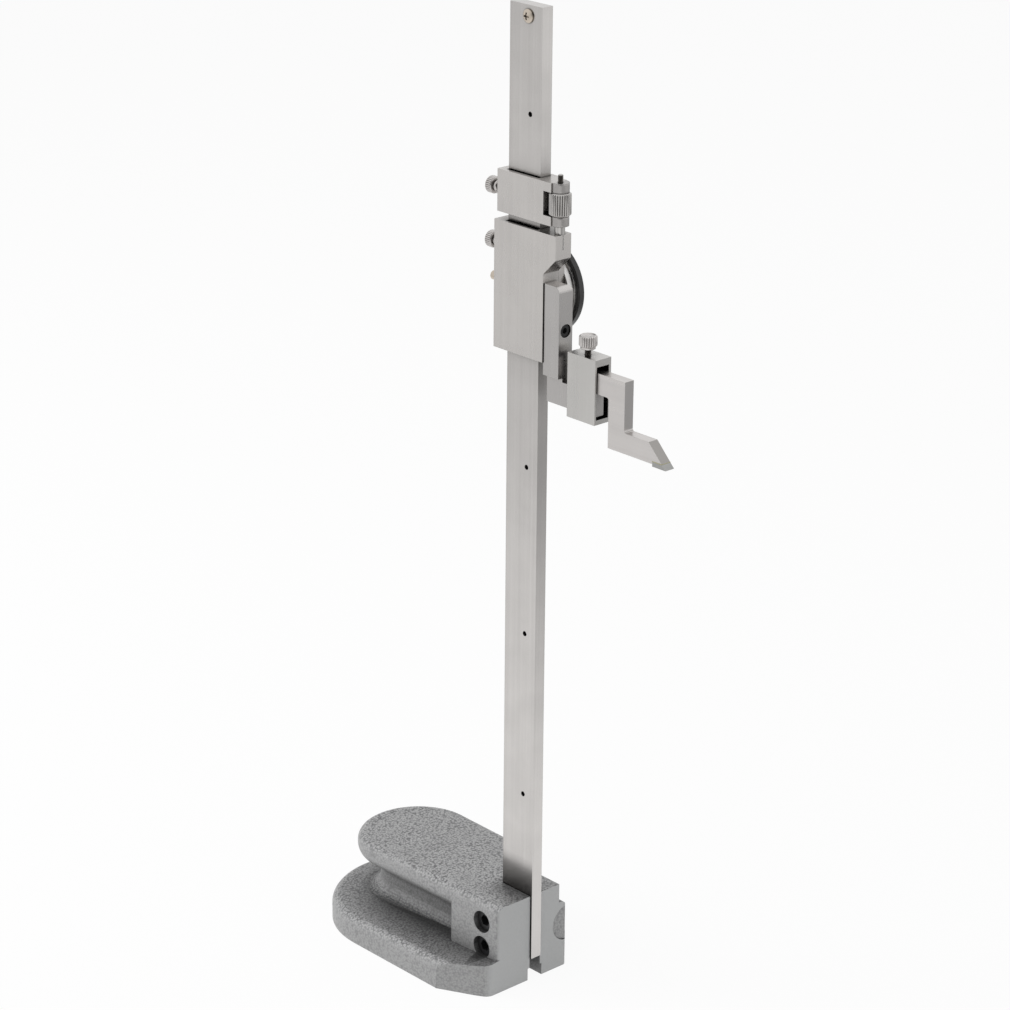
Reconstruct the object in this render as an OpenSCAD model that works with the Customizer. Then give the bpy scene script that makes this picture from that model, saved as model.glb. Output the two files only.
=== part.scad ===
// Dial height gauge: a cast base, an upright beam, and a carriage with dial, jaw and scriber.
// Z is up from the surface plate. The dial faces -Y and the scriber points to -X.
// The origin lies on the underside, at the centre of the base's rounded end.

/* [Base casting] */
// Radius of the base's rounded end
base_end_r = 45; // [42:0.5:50]
// Height of the base
base_h = 43.6; // [42:0.2:48]
// Length from the centre of the rounded end to the machined end face
end_face_l = 82.2; // [81:0.1:84]
// Height of the lower flange at its rounded end's edge
flange_h = 12.5; // [11:0.5:14]
// Height of the flange at the foot of the finger groove
flange_root_h = 14.5; // [13.5:0.1:15.5]
// How much the flange rises from its rounded end to the end face
flange_rise = 2.5; // [0:0.1:3]
// Radius on the flange's upper edge
flange_edge_r = 5; // [2:0.5:6]
// Radius of the top pad's rounded end
top_pad_r = 29.2; // [28:0.1:31]
// How far the top pad's centre lies beyond the flange's centre
top_pad_shift = 4.8; // [3:0.1:7]
// Height of the top pad's upright side
top_pad_h = 5.6; // [5:0.1:6.5]
// Radius that leads from that side to the pad's slanted underside
pad_round_r = 6; // [5:0.1:7]
// Radius on the top pad's edges
top_edge_r = 4.2; // [1:0.1:5]
// Depth of the finger groove under the top pad
groove_depth = 11; // [8:0.1:12]
// Radius of the finger groove's two inner corners
groove_r = 6.8; // [4:0.1:7.4]
// Length of the solid block that holds the beam
end_block_l = 33; // [30:0.5:36]
// Distance of the block's back face from the base's centre plane
block_back_w = 27.3; // [26.5:0.1:28]
// Distance of the block's front face from the base's centre plane, above the step
block_front_w = 11.8; // [11:0.1:13]
// Distance of the block's front face from the base's centre plane, below the step
block_foot_w = 16.5; // [15.5:0.1:18]
// Radius on the upright edge between the block's back face and the end face
end_edge_r = 2; // [0.5:0.1:4]
// Radius on the flange's upright corners at the end face
flange_corner_r = 5; // [1:0.5:6]
// Radius on the block's upright edge where the finger groove ends
block_edge_r = 3; // [1:0.5:4]
// Radius on the upper edge of the block's front foot
foot_edge_r = 3.6; // [1:0.1:4]
// Height of the step on the block's front face
block_step_z = 34; // [33:0.2:35]
// Distance of the clamp screws from the end face
clamp_screw_inset = 10.7; // [9.5:0.1:12]
// Height of the lower clamp screw
clamp_screw_z = 20.4; // [19.5:0.1:21.5]
// Spacing of the two clamp screws
clamp_screw_pitch = 13; // [12.5:0.1:14]

/* [Beam] */
// Width of the beam
beam_w = 20; // [19:0.1:21]
// Thickness of the beam
beam_t = 6; // [5.8:0.05:6.4]
// Length of the beam
beam_l = 450; // [440:1:500]
// Height of the beam's lower end above the surface
beam_foot_z = 11; // [8:0.5:13]
// Distance of the beam's back face from the base's centre plane
beam_back_y = 6.5; // [6:0.1:7]
// How far the beam's side stands out of the end face
beam_proud = 0.8; // [0.4:0.1:1.2]
// Width of the groove for the rack
rack_groove_w = 8.2; // [8:0.05:8.6]
// Depth of the groove for the rack
rack_groove_d = 3; // [2.8:0.05:3.2]
// Height of the lowest pin hole
first_pin_z = 94; // [88:1:98]
// Spacing of the pin holes
pin_pitch = 80; // [78:1:81]
// Radius of the pin holes
pin_hole_r = 1.2; // [1.15:0.01:1.4]
// Distance of the pin holes from the beam's centre line
pin_offset = 3.1; // [2.9:0.05:3.2]
// Distance of the stop screw below the beam's top
stop_screw_drop = 4.8; // [4.2:0.1:7]

/* [Carriage] */
// Free length of the beam above the clamp block
free_l = 73.4; // [14:0.1:240]
// Height of the carriage's frame
frame_h = 58.3; // [57:0.1:60]
// Thickness of the frame's wall behind the beam
back_wall = 1.3; // [1.1:0.05:1.8]
// Space behind the beam, for the gib and its spring
back_gap = 1.8; // [1.7:0.05:2.1]
// Thickness of the wall on the lock screw's side
lock_wall = 5.5; // [5:0.1:6]
// Thickness of the wall on the jaw's side
jaw_wall = 5.4; // [5:0.1:6]
// How far the frame's upper corner reaches past that wall
overhang_l = 7.5; // [6.9:0.1:8]
// Height of the corner's straight side
overhang_h = 10.8; // [10:0.1:12]
// Thickness of the front plate
front_plate_t = 3.4; // [3.2:0.1:3.8]
// Distance of the lock screw below the frame's upper end
lock_screw_drop = 11.3; // [9:0.1:13]
// Distance of the drag screw below the frame's upper end
drag_screw_drop = 27.6; // [25:0.1:30]

/* [Jaw and scriber] */
// Width of the jaw's upright
jaw_w = 9.6; // [9.2:0.1:10.4]
// Gap between the jaw's upright and the frame's corner
jaw_top_gap = 4.2; // [3:0.1:5.4]
// Depth of the arm's seat below the frame's lower end
arm_seat_drop = 7.3; // [6.5:0.1:8]
// Height of the arm
arm_h = 10.9; // [10:0.1:12]
// Thickness of the arm
arm_t = 5.4; // [5.2:0.1:5.6]
// Length of the arm beyond the jaw's upright
arm_l = 20.4; // [19:0.1:22]
// Distance of the clamp box from the jaw's upright
box_offset = 4.4; // [4.2:0.1:5]
// Length of the clamp box
box_l = 17.2; // [16.6:0.1:18]
// Thickness of the scriber
scriber_t = 5.2; // [4.8:0.1:5.2]
// Height of the scriber's tang
tang_h = 9.5; // [8.5:0.1:10]
// Length of the scriber's tang
tang_l = 23; // [20:0.5:23]
// Width of the scriber's upright
upright_w = 9.8; // [9:0.1:11]
// Height of the whole scriber, without its tip
scriber_h = 32.1; // [30:0.1:35]
// Height of the scriber's foot
foot_h = 9.3; // [8.5:0.1:10.5]
// Length of the foot's flat top
foot_l = 14.9; // [12:0.1:18]
// How far the carbide tip stands below the foot
tip_step = 1.1; // [0.8:0.1:1.4]
// Height of the carbide tip
tip_h = 2.3; // [1.8:0.1:2.8]
// Length of the carbide tip's underside
tip_l = 8; // [6:0.1:9]

/* [Fine adjustment] */
// Gap between the carriage and the clamp block
fine_gap = 3.8; // [3.5:0.1:5]
// Height of the clamp block
fine_h = 19; // [18.5:0.1:20]
// Thickness of each lug
lug_h = 4.2; // [3.9:0.1:4.4]
// Thickness of the clamp block's wall behind the beam
fine_back_wall = 1.8; // [1.5:0.1:2.2]
// Space behind the beam in the clamp block
fine_back_gap = 1.2; // [1:0.1:1.4]
// Thickness of the clamp block's cover
fine_cover_t = 1.8; // [1.6:0.1:2]
// Diameter of the knurled nut
nut_d = 9.8; // [9.6:0.1:10.2]
// Diameter of the stud's thread
stud_d = 2.5; // [2.4:0.05:2.7]
// Diameter of the stud's plain shank
shank_d = 4.5; // [4:0.1:5]

/* [Dial] */
// Height of the dial's centre above the frame's lower end
dial_z = 28; // [27:0.1:29]
// Diameter of the bezel
bezel_d = 41.8; // [41.4:0.1:44]
// Diameter of the case's flange
case_flange_d = 38.5; // [38:0.1:39.5]
// Depth of the case
case_depth = 4.4; // [4.3:0.1:5]
// Thickness of the bezel
bezel_t = 3.7; // [3.5:0.1:4.4]
// Pitch of the rack's teeth
rack_pitch = 1; // [0.96:0.01:1.02]
// Module of the wheels in the movement
wheel_module = 0.25; // [0.24:0.005:0.255]

/* [Hidden] */
$fn = 96;

// Clearances and overruns
cut = 1;
run_gap = 0.1;
side_gap = 0.2;
slot_gap = 0.3;
seat_gap = 0.3;
shaft_gap = 0.05;
hole_gap = 0.1;

// Colours
paint_grey = [0.47, 0.48, 0.48];
steel_grey = [0.72, 0.71, 0.69];
bright_steel = [0.8, 0.8, 0.78];
black_oxide = [0.08, 0.08, 0.09];
brass_tone = [0.78, 0.6, 0.32];
carbide_grey = [0.5, 0.5, 0.5];
dial_white = [0.93, 0.93, 0.9];
glass_clear = [0.8, 0.88, 0.9, 0.3];

// Screw sizes: radius of the thread, of the head, and the head's height
m6_r = 3;
m6_head_r = 5;
m6_head_h = 6;
m6_hex_r = 2.9;
m6_hex_d = 3;
m3_r = 1.5;
m3_head_r = 2.75;
m3_head_h = 3;
m3_hex_r = 1.45;
m3_hex_d = 1.5;
m25_r = 1.25;
m25_head_r = 2.25;
m25_head_h = 1.5;
m2_r = 1;
m2_head_r = 1.8;
m2_head_h = 1.2;
m16_r = 0.8;
m16_head_r = 1.4;
m16_head_h = 0.7;
slot_w = 0.5;
hex_sides = 6;

// Places on the beam: u runs along X from its centre line, v along Y from its middle
beam_x = -(end_face_l + beam_proud - beam_w / 2);
beam_y = beam_back_y - beam_t / 2;
beam_top_z = beam_foot_z + beam_l;
rear_v = beam_t / 2;
front_v = -beam_t / 2;

// Carriage frame
frame_front_v = front_v - run_gap;
frame_back_v = rear_v + back_gap + back_wall;
slot_half = beam_w / 2 + side_gap;
lock_side_u = slot_half + lock_wall;
jaw_side_u = -(slot_half + jaw_wall);
corner_u = jaw_side_u - overhang_l;
plate_front_v = frame_front_v - front_plate_t;
screw_v = rear_v - beam_t * 0.275;
lock_screw_z = frame_h - lock_screw_drop;
drag_screw_z = frame_h - drag_screw_drop;

// Scriber height chain, down from the frame's lower end
arm_top_z = -arm_seat_drop;
arm_bottom_z = arm_top_z - arm_h;
tang_bottom_z = arm_top_z + run_gap;
tang_top_z = tang_bottom_z + tang_h;
foot_bottom_z = tang_top_z - scriber_h;
tip_bottom_z = foot_bottom_z - tip_step;
carriage_z = beam_top_z - free_l - frame_h - fine_gap - fine_h;

// Jaw
jaw_back_step = 0.6;
jaw_front_step = 0.5;
arm_back_step = 2.5;
jaw_back_v = frame_back_v - jaw_back_step;
jaw_front_v = frame_front_v + jaw_front_step;
arm_back_v = jaw_back_v - arm_back_step;
arm_front_v = arm_back_v - arm_t;
jaw_out_u = jaw_side_u - jaw_w;
jaw_root_h = 1.8;
jaw_root_z = arm_top_z + jaw_root_h;
jaw_top_z = frame_h - overhang_h - overhang_l - jaw_top_gap;
jaw_top_r = 2.6;
jaw_top_chamfer = 1.5;
jaw_edge_chamfer = 0.4;
jaw_screw_v = (jaw_back_v + jaw_front_v) / 2 - run_gap;
jaw_counterbore_d = m3_head_h + 0.6 * m3_head_h / 3;
dowel_r = 1;
dowel_low_z = 6.5;
dowel_drop = 10.9;
dowel_high_z = jaw_top_z - dowel_drop;
dowel_spacing = (dowel_high_z - dowel_low_z) / 2;
jaw_screw_z = (dowel_high_z + dowel_low_z) / 2;
dowel_l = 8.6;
dowel_in_frame = 4.4;
arm_end_u = jaw_out_u - arm_l;

// Scriber clamp box
box_u1 = jaw_out_u - box_offset;
box_u0 = box_u1 - box_l;
box_back_wall = 1;
box_front_wall = 1.3;
box_floor = 2.1;
box_roof = 3.2;
box_room = 2.5;
box_back_fit = 0.2;
box_front_fit = 1.6;
box_sag = 1.1;
box_in_back_v = arm_back_v + box_back_fit;
box_in_front_v = arm_front_v - box_front_fit;
box_in_bottom_z = arm_bottom_z - box_sag;
box_in_top_z = tang_top_z + box_room;
box_bottom_z = box_in_bottom_z - box_floor;
box_top_z = box_in_top_z + box_roof;
box_screw_u = (box_u0 + box_u1) / 2;
box_screw_v = (arm_back_v + arm_front_v) / 2;

// Scriber
scriber_back_v = box_screw_v + scriber_t / 2;
scriber_front_v = box_screw_v - scriber_t / 2;
upright_gap = 7.2;
upright_u1 = box_u0 - upright_gap;
upright_u0 = upright_u1 - upright_w;
tang_u1 = upright_u1 + tang_l;
foot_top_z = foot_bottom_z + foot_h;
foot_u0 = upright_u0 - foot_l;
tip_u0 = foot_u0 - (foot_top_z - tip_bottom_z);
tip_u1 = tip_u0 + tip_l;
tip_top_z = tip_bottom_z + tip_h;
tip_slant_u = tip_u0 + tip_h;
scriber_inner_r = 1.2;

// Thumbscrews
thumb_head_r = 3.85;
thumb_head_h = 3.8;
thumb_neck_r = 2.6;
thumb_neck_h = 2.2;
thumb_groove_r = 2;
thumb_groove_h = 0.8;
thumb_reach = 7.7;
knurl_depth = 0.3;
knurl_count = 28;
knurl_chamfer = 0.4;
box_head_r = 4.05;
box_head_h = 6;
box_head_lift = 2.8;
pad_t = 0.8;
pad_gap = 0.3;

// Drag screw
drag_head_r = 2.1;
drag_head_h = 3;
drag_reach = 5.3;

// Fine adjustment
fine_bottom_z = frame_h + fine_gap;
fine_top_z = fine_bottom_z + fine_h;
fine_back_v = rear_v + fine_back_gap + fine_back_wall;
fine_front_v = frame_front_v;
lug_step = 0.55;
lug_shoulder = 1;
lug_r = (fine_back_v - fine_front_v) / 2 - lug_step;
lug_v = (fine_back_v + fine_front_v) / 2;
window_wall = 4.8;
window_u = -(slot_half + window_wall);
nut_r = nut_d / 2;
nut_side_gap = 0.9;
stud_u = window_u - nut_side_gap - nut_r;
fine_lock_wall = 3.8;
fine_lock_u = slot_half + fine_lock_wall;
fine_cover_u0 = -(slot_half + fine_lock_wall);
fine_lock_z = (fine_bottom_z + fine_top_z) / 2 - run_gap;
lower_lug_top_z = fine_bottom_z + lug_h;
upper_lug_bottom_z = fine_top_z - lug_h;
nut_end_gap = 0.2;
nut_knurl_count = 32;
nut_knurl_depth = 0.35;
shank_in_lug = 0.8;
stud_anchor_d = 7;
stud_above = 3.4;
cover_screw_inset_u = 2;
cover_screw_inset_z = 2.4;
cover_screw_l = 4.5;

// Gib and its spring
gib_t = 0.9;
gib_w = 14;
gib_inset = 4;
spring_t = 0.25;
spring_w = 9;
spring_rise = 0.3;
spring_steps = 14;
spring_l = frame_h - 4 * gib_inset;

// Front plate
plate_screw_inset_u = 2.7;
plate_screw_inset_z = 3.8;
plate_screw_l = 8;
plate_screw_sink = 1.6;
plate_bevel_h = 4.2;
plate_bevel_d = 2.4;
pocket_r = 14.3;
pocket_d = 2;
pocket_floor_v = plate_front_v + pocket_d;

// Rack and pinion: ten teeth, one turn for ten pitches
pinion_teeth = 10;
wheel_teeth = 50;
pressure_angle = 20;
flank_steps = 3;
rack_add = 0.17 * rack_pitch;
rack_ded = 0.42 * rack_pitch;
pinion_add = 0.28 * rack_pitch;
pinion_ded = 0.26 * rack_pitch;
rack_play = 0.08 * rack_pitch;
rack_pitch_r = pinion_teeth * rack_pitch / (2 * PI);
rack_line_u = -pin_offset + 2.4;
rack_back_u = -rack_groove_w + 3.25;
rack_front_v = front_v + run_gap + run_gap;
rack_floor_v = front_v + rack_groove_d;
groove_end_u = rack_back_u + rack_groove_w;
pinion_u = rack_line_u + rack_pitch_r;
rack_margin = 10;
rack_down = 38;
rack_z0 = first_pin_z - rack_down;
pin_top_room = 30;
pin_count = floor((beam_top_z - pin_top_room - first_pin_z) / pin_pitch) + 1;
last_pin_z = first_pin_z + (pin_count - 1) * pin_pitch;
rack_z1 = last_pin_z + rack_margin;
pin_r = 1;
pin_recess = 1.5;
pin_in_rack = 2.4;

// Movement
wheel_r = wheel_teeth * wheel_module / 2;
centre_r = pinion_teeth * wheel_module / 2;
wheel_add = 0.6 * wheel_module;
wheel_ded = 1.25 * wheel_module;
centre_add = wheel_module;
centre_ded = 0.85 * wheel_module;
wheel_play = 0.16 * wheel_module;
centre_distance = wheel_r + centre_r;
centre_drop = sqrt(centre_distance * centre_distance - pinion_u * pinion_u);
pinion_z = dial_z - centre_drop;
mesh_angle = atan2(centre_drop, -pinion_u);
half_tooth = 180 / pinion_teeth;
wheel_t = 0.8;
wheel_v = pocket_floor_v - 1.6;
centre_front_v = wheel_v - wheel_t;
centre_back_v = pocket_floor_v - seat_gap;
arbor_r = 0.5;
pivot_r = 0.4;
pivot_d = 0.8;
pinion_arbor_r = 0.8;
bush_r = 2.3;
bush_flange_r = 3.1;
bush_flange_t = 0.5;
bridge_v = plate_front_v - 0.9 * case_depth / 4.4;
bridge_t = 0.8;
bridge_w = 5;
bridge_half_l = 12.9;
bridge_arm = centre_distance + 2;
pillar_u = 11;
pillar_r = 1.6;
spoke_hole_r = 1.5;
spoke_ring_r = 3.6;
spoke_count = 5;
collet_r = 1.1;
hair_gap = 0.6;
hair_turns = 5;
hair_steps = 24;
hair_t = 0.16;
hair_w = 0.5;
hair_in_r = collet_r + 0.08;
hair_pitch = 0.75;

// Dial case, bezel and face: depths are counted forward from the plate's front face
case_floor_t = 0.7;
case_hole_r = pocket_r;
case_wall_r = case_flange_d / 2 - 0.75;
case_flange_t = 1.3;
case_room_r = case_wall_r - 1.3;
case_mouth_r = case_wall_r - 0.9;
face_v_depth = case_depth - 1.5;
face_t = 0.4;
face_r = case_room_r - seat_gap;
face_hole_r = 1.2;
skirt_r = case_mouth_r - seat_gap;
skirt_t = 1.1;
skirt_depth = 1;
snap_w = 0.5;
snap_in = 0.2;
snap_gap_angle = 24;
snap_drop = 0.35;
bezel_r = bezel_d / 2;
bezel_front_r = bezel_r - 1.4;
bezel_bevel_h = 1;
bezel_open_r = 17;
crystal_r = 17.9;
crystal_t = 1;
crystal_seat = 0.7;
case_screw_r = (case_hole_r + case_room_r) / 2;
case_screw_u = case_screw_r / 2;
case_screw_up = case_screw_r * sqrt(3) / 2;
case_screw_l = 2.4;
pointer_l = 15.2;
pointer_tail = 5;
pointer_w = 1.3;
pointer_tip_w = 0.3;
pointer_tail_w = 2.2;
pointer_t = 0.25;
pointer_hub_r = 1.7;
pointer_hub_t = 0.9;
pointer_lift = 1;
pointer_angle = 24;

// Base details
waist_r = top_pad_r - groove_depth;
pad_slope = 30;
pad_round_foot_u = top_pad_r - pad_round_r * (1 - sin(pad_slope));
pad_round_foot_z = base_h - top_pad_h - pad_round_r * cos(pad_slope);
groove_top_u = waist_r + groove_r * (1 - sin(pad_slope));
groove_top_z = pad_round_foot_z - (pad_round_foot_u - groove_top_u) * tan(pad_slope);
groove_upper_z = groove_top_z - groove_r * cos(pad_slope);
groove_lower_r = min(groove_r, groove_upper_z - flange_root_h - run_gap);
groove_foot_u = waist_r + groove_lower_r;
flange_slope = 7;
skirt_slope = 0.2;
skirt_u = base_end_r - flange_edge_r - top_pad_shift;
flange_tilt = atan(flange_rise / end_face_l);
block_start_x = -end_face_l + end_block_l;
flange_taper_l = 22.8;
flange_corner_w = 32.4;
flange_bend_l = 5.7;
flange_bend_w = 36;
flange_front_l = 49;
flange_front_bend_l = 13;
flange_front_bend_w = 21.5;
pad_draw = atan((top_pad_r - block_back_w) / (end_face_l + top_pad_shift));
block_root_w = top_pad_r - (top_pad_shift - block_start_x) * tan(pad_draw);
flange_bend_a = atan((flange_bend_w - flange_corner_w) / flange_bend_l);
flange_front_a = atan((flange_front_bend_w - block_foot_w) / flange_front_bend_l);
pad_taper_start_l = 44;
pad_taper_end_l = 19;
slot_inner_x = beam_x + beam_w / 2 + slot_gap;
slot_relief_h = 6;
slot_relief_w = 1.4;
counterbore_r = 5.4;
counterbore_d = 8;
clamp_screw_sink = 1.6;
clamp_screw_l = 26;
clamp_hole_r = m6_r + hole_gap;
patch_r = 9;
patch_d = 0.8;
patch_y = -17;
patch_z = 22.2;
block_top_chamfer = 1;
foot_round = min(foot_edge_r, block_foot_w - block_front_w - block_top_chamfer);
stop_head_r = 3;
stop_head_h = 1.7;
stop_dome_r = 4.6;
stop_shank_r = 1.5;
stop_cross_w = 0.8;
stop_cross_l = 3.2;
stop_cross_d = 1.1;
stop_u = -1.5;
stop_tail = 0.2;

// Shapes in the beam's frame
module at_beam() {
    translate([beam_x, beam_y, 0]) children();
}

module at_carriage() {
    translate([beam_x, beam_y, carriage_z]) children();
}

module block(u0, u1, v0, v1, z0, z1) {
    translate([u0, v0, z0]) cube([u1 - u0, v1 - v0, z1 - z0]);
}

module rod_u(r, u0, u1, v, z) {
    translate([u0, v, z]) rotate([0, 90, 0]) cylinder(r = r, h = u1 - u0);
}

module rod_v(r, v0, v1, u, z) {
    translate([u, v0, z]) rotate([-90, 0, 0]) cylinder(r = r, h = v1 - v0);
}

module rod_z(r, z0, z1, u, v) {
    translate([u, v, z0]) cylinder(r = r, h = z1 - z0);
}

// An outline in u and z, with a thickness along v
module side_plate(points, v0, v1) {
    translate([0, v1, 0]) rotate([90, 0, 0]) linear_extrude(v1 - v0) polygon(points);
}

// An outline in v and z, with a length along u
module end_plate(points, u0, u1) {
    translate([u0, 0, 0]) rotate([90, 0, 90]) linear_extrude(u1 - u0) polygon(points);
}

// A profile of radius and depth, turned about the dial's axis
module dial_turned(points, u = 0, z = dial_z) {
    translate([u, plate_front_v, z]) rotate([90, 0, 0]) rotate_extrude() polygon(points);
}

function arc(cx, cy, r, a0, a1, steps) =
    [for (i = [0 : steps])
        let (a = a0 + (a1 - a0) * i / steps)
        [cx + r * cos(a), cy + r * sin(a)]];

function polar(r, a) = [r * cos(a), r * sin(a)];

// Outline of a straight-knurled cylinder
function knurl_points(r, depth, count) =
    [for (i = [0 : 2 * count - 1]) polar(i % 2 == 0 ? r : r - depth, 180 * i / count)];

// Involute teeth: half the angle that a tooth spans at radius r
function inv(a) = tan(a) * 180 / PI - a;
function half_angle(r, pitch_r, teeth, play) =
    let (base_r = pitch_r * cos(pressure_angle))
    90 / teeth - play / pitch_r * 90 / PI + inv(pressure_angle) - (r > base_r ? inv(acos(base_r / r)) : 0);
function gear_points(teeth, pitch_r, add, ded, play) =
    let (base_r = pitch_r * cos(pressure_angle),
        root_r = pitch_r - ded,
        low_r = max(base_r, root_r),
        radii = [for (i = [0 : flank_steps]) low_r + (pitch_r + add - low_r) * i / flank_steps])
    [for (k = [0 : teeth - 1])
        let (a = 360 * k / teeth, low_a = half_angle(low_r, pitch_r, teeth, play))
        each concat(
            root_r < base_r ? [polar(root_r, a - low_a)] : [],
            [for (r = radii) polar(r, a - half_angle(r, pitch_r, teeth, play))],
            [for (i = [flank_steps : -1 : 0])
                polar(radii[i], a + half_angle(radii[i], pitch_r, teeth, play))],
            root_r < base_r ? [polar(root_r, a + low_a)] : [])];

// Rack teeth stand at half pitches from the pinion's axis, up and down the beam
function rack_tooth(z) =
    let (half_t = rack_pitch / 4 - rack_play / 2,
        root_half = half_t + rack_ded * tan(pressure_angle),
        tip_half = half_t - rack_add * tan(pressure_angle),
        root_u = rack_line_u - rack_ded,
        tip_u = rack_line_u + rack_add)
    [[root_u, z - root_half], [tip_u, z - tip_half], [tip_u, z + tip_half], [root_u, z + root_half]];

module gear(points, v0, v1, u, z, turn) {
    translate([u, v1, z]) rotate([90, 0, 0]) linear_extrude(v1 - v0) rotate(turn) polygon(points);
}

// Screws
module socket_head(r, head_r, head_h, hex_r, hex_d, length) {
    difference() {
        union() {
            cylinder(r = head_r, h = head_h);
            translate([0, 0, -length]) cylinder(r = r, h = length + cut);
        }
        translate([0, 0, head_h - hex_d]) cylinder(r = hex_r, h = hex_d + cut, $fn = hex_sides);
    }
}

module slotted_head(r, head_r, head_h, length) {
    difference() {
        union() {
            cylinder(r = head_r, h = head_h);
            translate([0, 0, -length]) cylinder(r = r, h = length + head_h / 2);
        }
        translate([-head_r - cut, -slot_w / 2, head_h / 2])
            cube([2 * head_r + 2 * cut, slot_w, head_h]);
    }
}

// A knurled drum above z = 0, with a chamfer on each rim
module knurled_drum(r, h, depth, count) {
    intersection() {
        linear_extrude(h) polygon(knurl_points(r, depth, count));
        rotate_extrude() polygon([
            [0, 0],
            [r - knurl_chamfer, 0],
            [r + run_gap, knurl_chamfer + run_gap],
            [r + run_gap, h - knurl_chamfer - run_gap],
            [r - knurl_chamfer, h],
            [0, h]]);
    }
}

// A thumbscrew that points down, with its neck and head above z = 0
module thumbscrew(head_r, head_h, shank_l) {
    translate([0, 0, thumb_neck_h]) knurled_drum(head_r, head_h, knurl_depth, knurl_count);
    cylinder(r = thumb_neck_r, h = thumb_neck_h - thumb_groove_h);
    cylinder(r = thumb_groove_r, h = thumb_neck_h + head_h / 2);
    translate([0, 0, -shank_l]) cylinder(r = m3_r, h = shank_l + thumb_neck_h);
}

// Base casting
module flange_solid() {
    profile = concat([[0, 0], [base_end_r, 0]],
        arc(base_end_r - flange_edge_r, flange_h - flange_edge_r, flange_edge_r, 0, 90 - flange_slope, 8),
        [[waist_r + groove_r, flange_root_h], [0, flange_root_h]]);
    mirrored = [for (p = profile) [-p[0], p[1]]];
    intersection() {
        union() {
            rotate_extrude() polygon(profile);
            translate([-end_face_l, -base_end_r, 0]) cube([end_face_l, 2 * base_end_r, flange_h / 2]);
            rotate([0, flange_tilt, 0]) {
                end_plate(profile, -end_face_l - cut, cut);
                end_plate(mirrored, -end_face_l - cut, cut);
            }
        }
        linear_extrude(base_h) polygon(flange_plan());
    }
}

// The flange's outline in plan, with rounded corners at the end face
function flange_plan() = concat([
    [base_end_r, base_end_r],
    [-end_face_l + flange_taper_l, base_end_r],
    [-end_face_l + flange_bend_l, flange_bend_w]],
    arc(-end_face_l + flange_corner_r,
        flange_corner_w - flange_corner_r / tan(45 + flange_bend_a / 2),
        flange_corner_r, 90 + flange_bend_a, 180, 6),
    arc(-end_face_l + flange_corner_r / 2,
        -block_foot_w + flange_corner_r / 2 / tan(45 + flange_front_a / 2),
        flange_corner_r / 2, 180, 270 - flange_front_a, 6), [
    [-end_face_l + flange_front_bend_l, -flange_front_bend_w],
    [-end_face_l + flange_front_l, -base_end_r],
    [base_end_r, -base_end_r]]);

module top_pad_solid() {
    profile = concat([
        [0, flange_h / 2],
        [skirt_u, flange_h / 2],
        [skirt_u, flange_root_h - skirt_slope * (skirt_u - groove_foot_u)]],
        arc(groove_foot_u, flange_root_h + groove_lower_r, groove_lower_r, 270, 180, 8),
        arc(waist_r + groove_r, groove_upper_z, groove_r, 180, 90 + pad_slope, 8),
        arc(top_pad_r - pad_round_r, base_h - top_pad_h, pad_round_r, pad_slope - 90, 0, 8),
        arc(top_pad_r - top_edge_r, base_h - top_edge_r, top_edge_r, 0, 90, 6),
        [[0, base_h]]);
    mirrored = [for (p = profile) [-p[0], p[1]]];
    intersection() {
        translate([top_pad_shift, 0, 0]) {
            rotate_extrude() polygon(profile);
            rotate([0, 0, pad_draw])
                end_plate(profile, -end_face_l - top_pad_shift - cut, 0);
            rotate([0, 0, -pad_draw])
                end_plate(mirrored, -end_face_l - top_pad_shift - cut, 0);
        }
        linear_extrude(base_h) polygon(concat([
            [base_end_r, -base_end_r],
            [base_end_r, base_end_r],
            [-end_face_l + end_edge_r, base_end_r]],
            end_edge_arc(), [
            [-end_face_l, -block_front_w],
            [-end_face_l + pad_taper_end_l, -block_front_w],
            [-end_face_l + pad_taper_start_l, -base_end_r]]));
    }
}

// The upright edge of the end face, in plan
function end_edge_arc() =
    arc(-end_face_l + end_edge_r, block_back_w + run_gap - end_edge_r, end_edge_r, 90, 180, 6);

module end_block_solid() {
    intersection() {
        translate([top_pad_shift, 0, 0]) rotate([0, 0, pad_draw])
            end_plate(concat([
                [0, 0],
                [top_pad_r, 0]],
                arc(top_pad_r - top_edge_r, base_h - top_edge_r, top_edge_r, 0, 90, 6),
                [[0, base_h]]), -end_face_l - top_pad_shift - cut, 0);
        linear_extrude(base_h) polygon(concat([
            [-end_face_l, 0],
            [block_start_x, 0]],
            arc(block_start_x - block_edge_r, block_root_w + run_gap - block_edge_r,
                block_edge_r, 0, 90, 6),
            end_edge_arc()));
    }
    intersection() {
        end_plate(concat([
            [0, 0],
            [0, base_h],
            [-block_front_w + block_top_chamfer, base_h],
            [-block_front_w, base_h - block_top_chamfer],
            [-block_front_w, block_step_z + block_top_chamfer],
            [-block_front_w + block_top_chamfer, block_step_z]],
            arc(-block_foot_w + foot_round, block_step_z - foot_round, foot_round, 90, 180, 6),
            [[-block_foot_w, 0]]), -end_face_l, -end_face_l + pad_taper_end_l);
        linear_extrude(base_h) polygon(flange_plan());
    }
}

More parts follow.
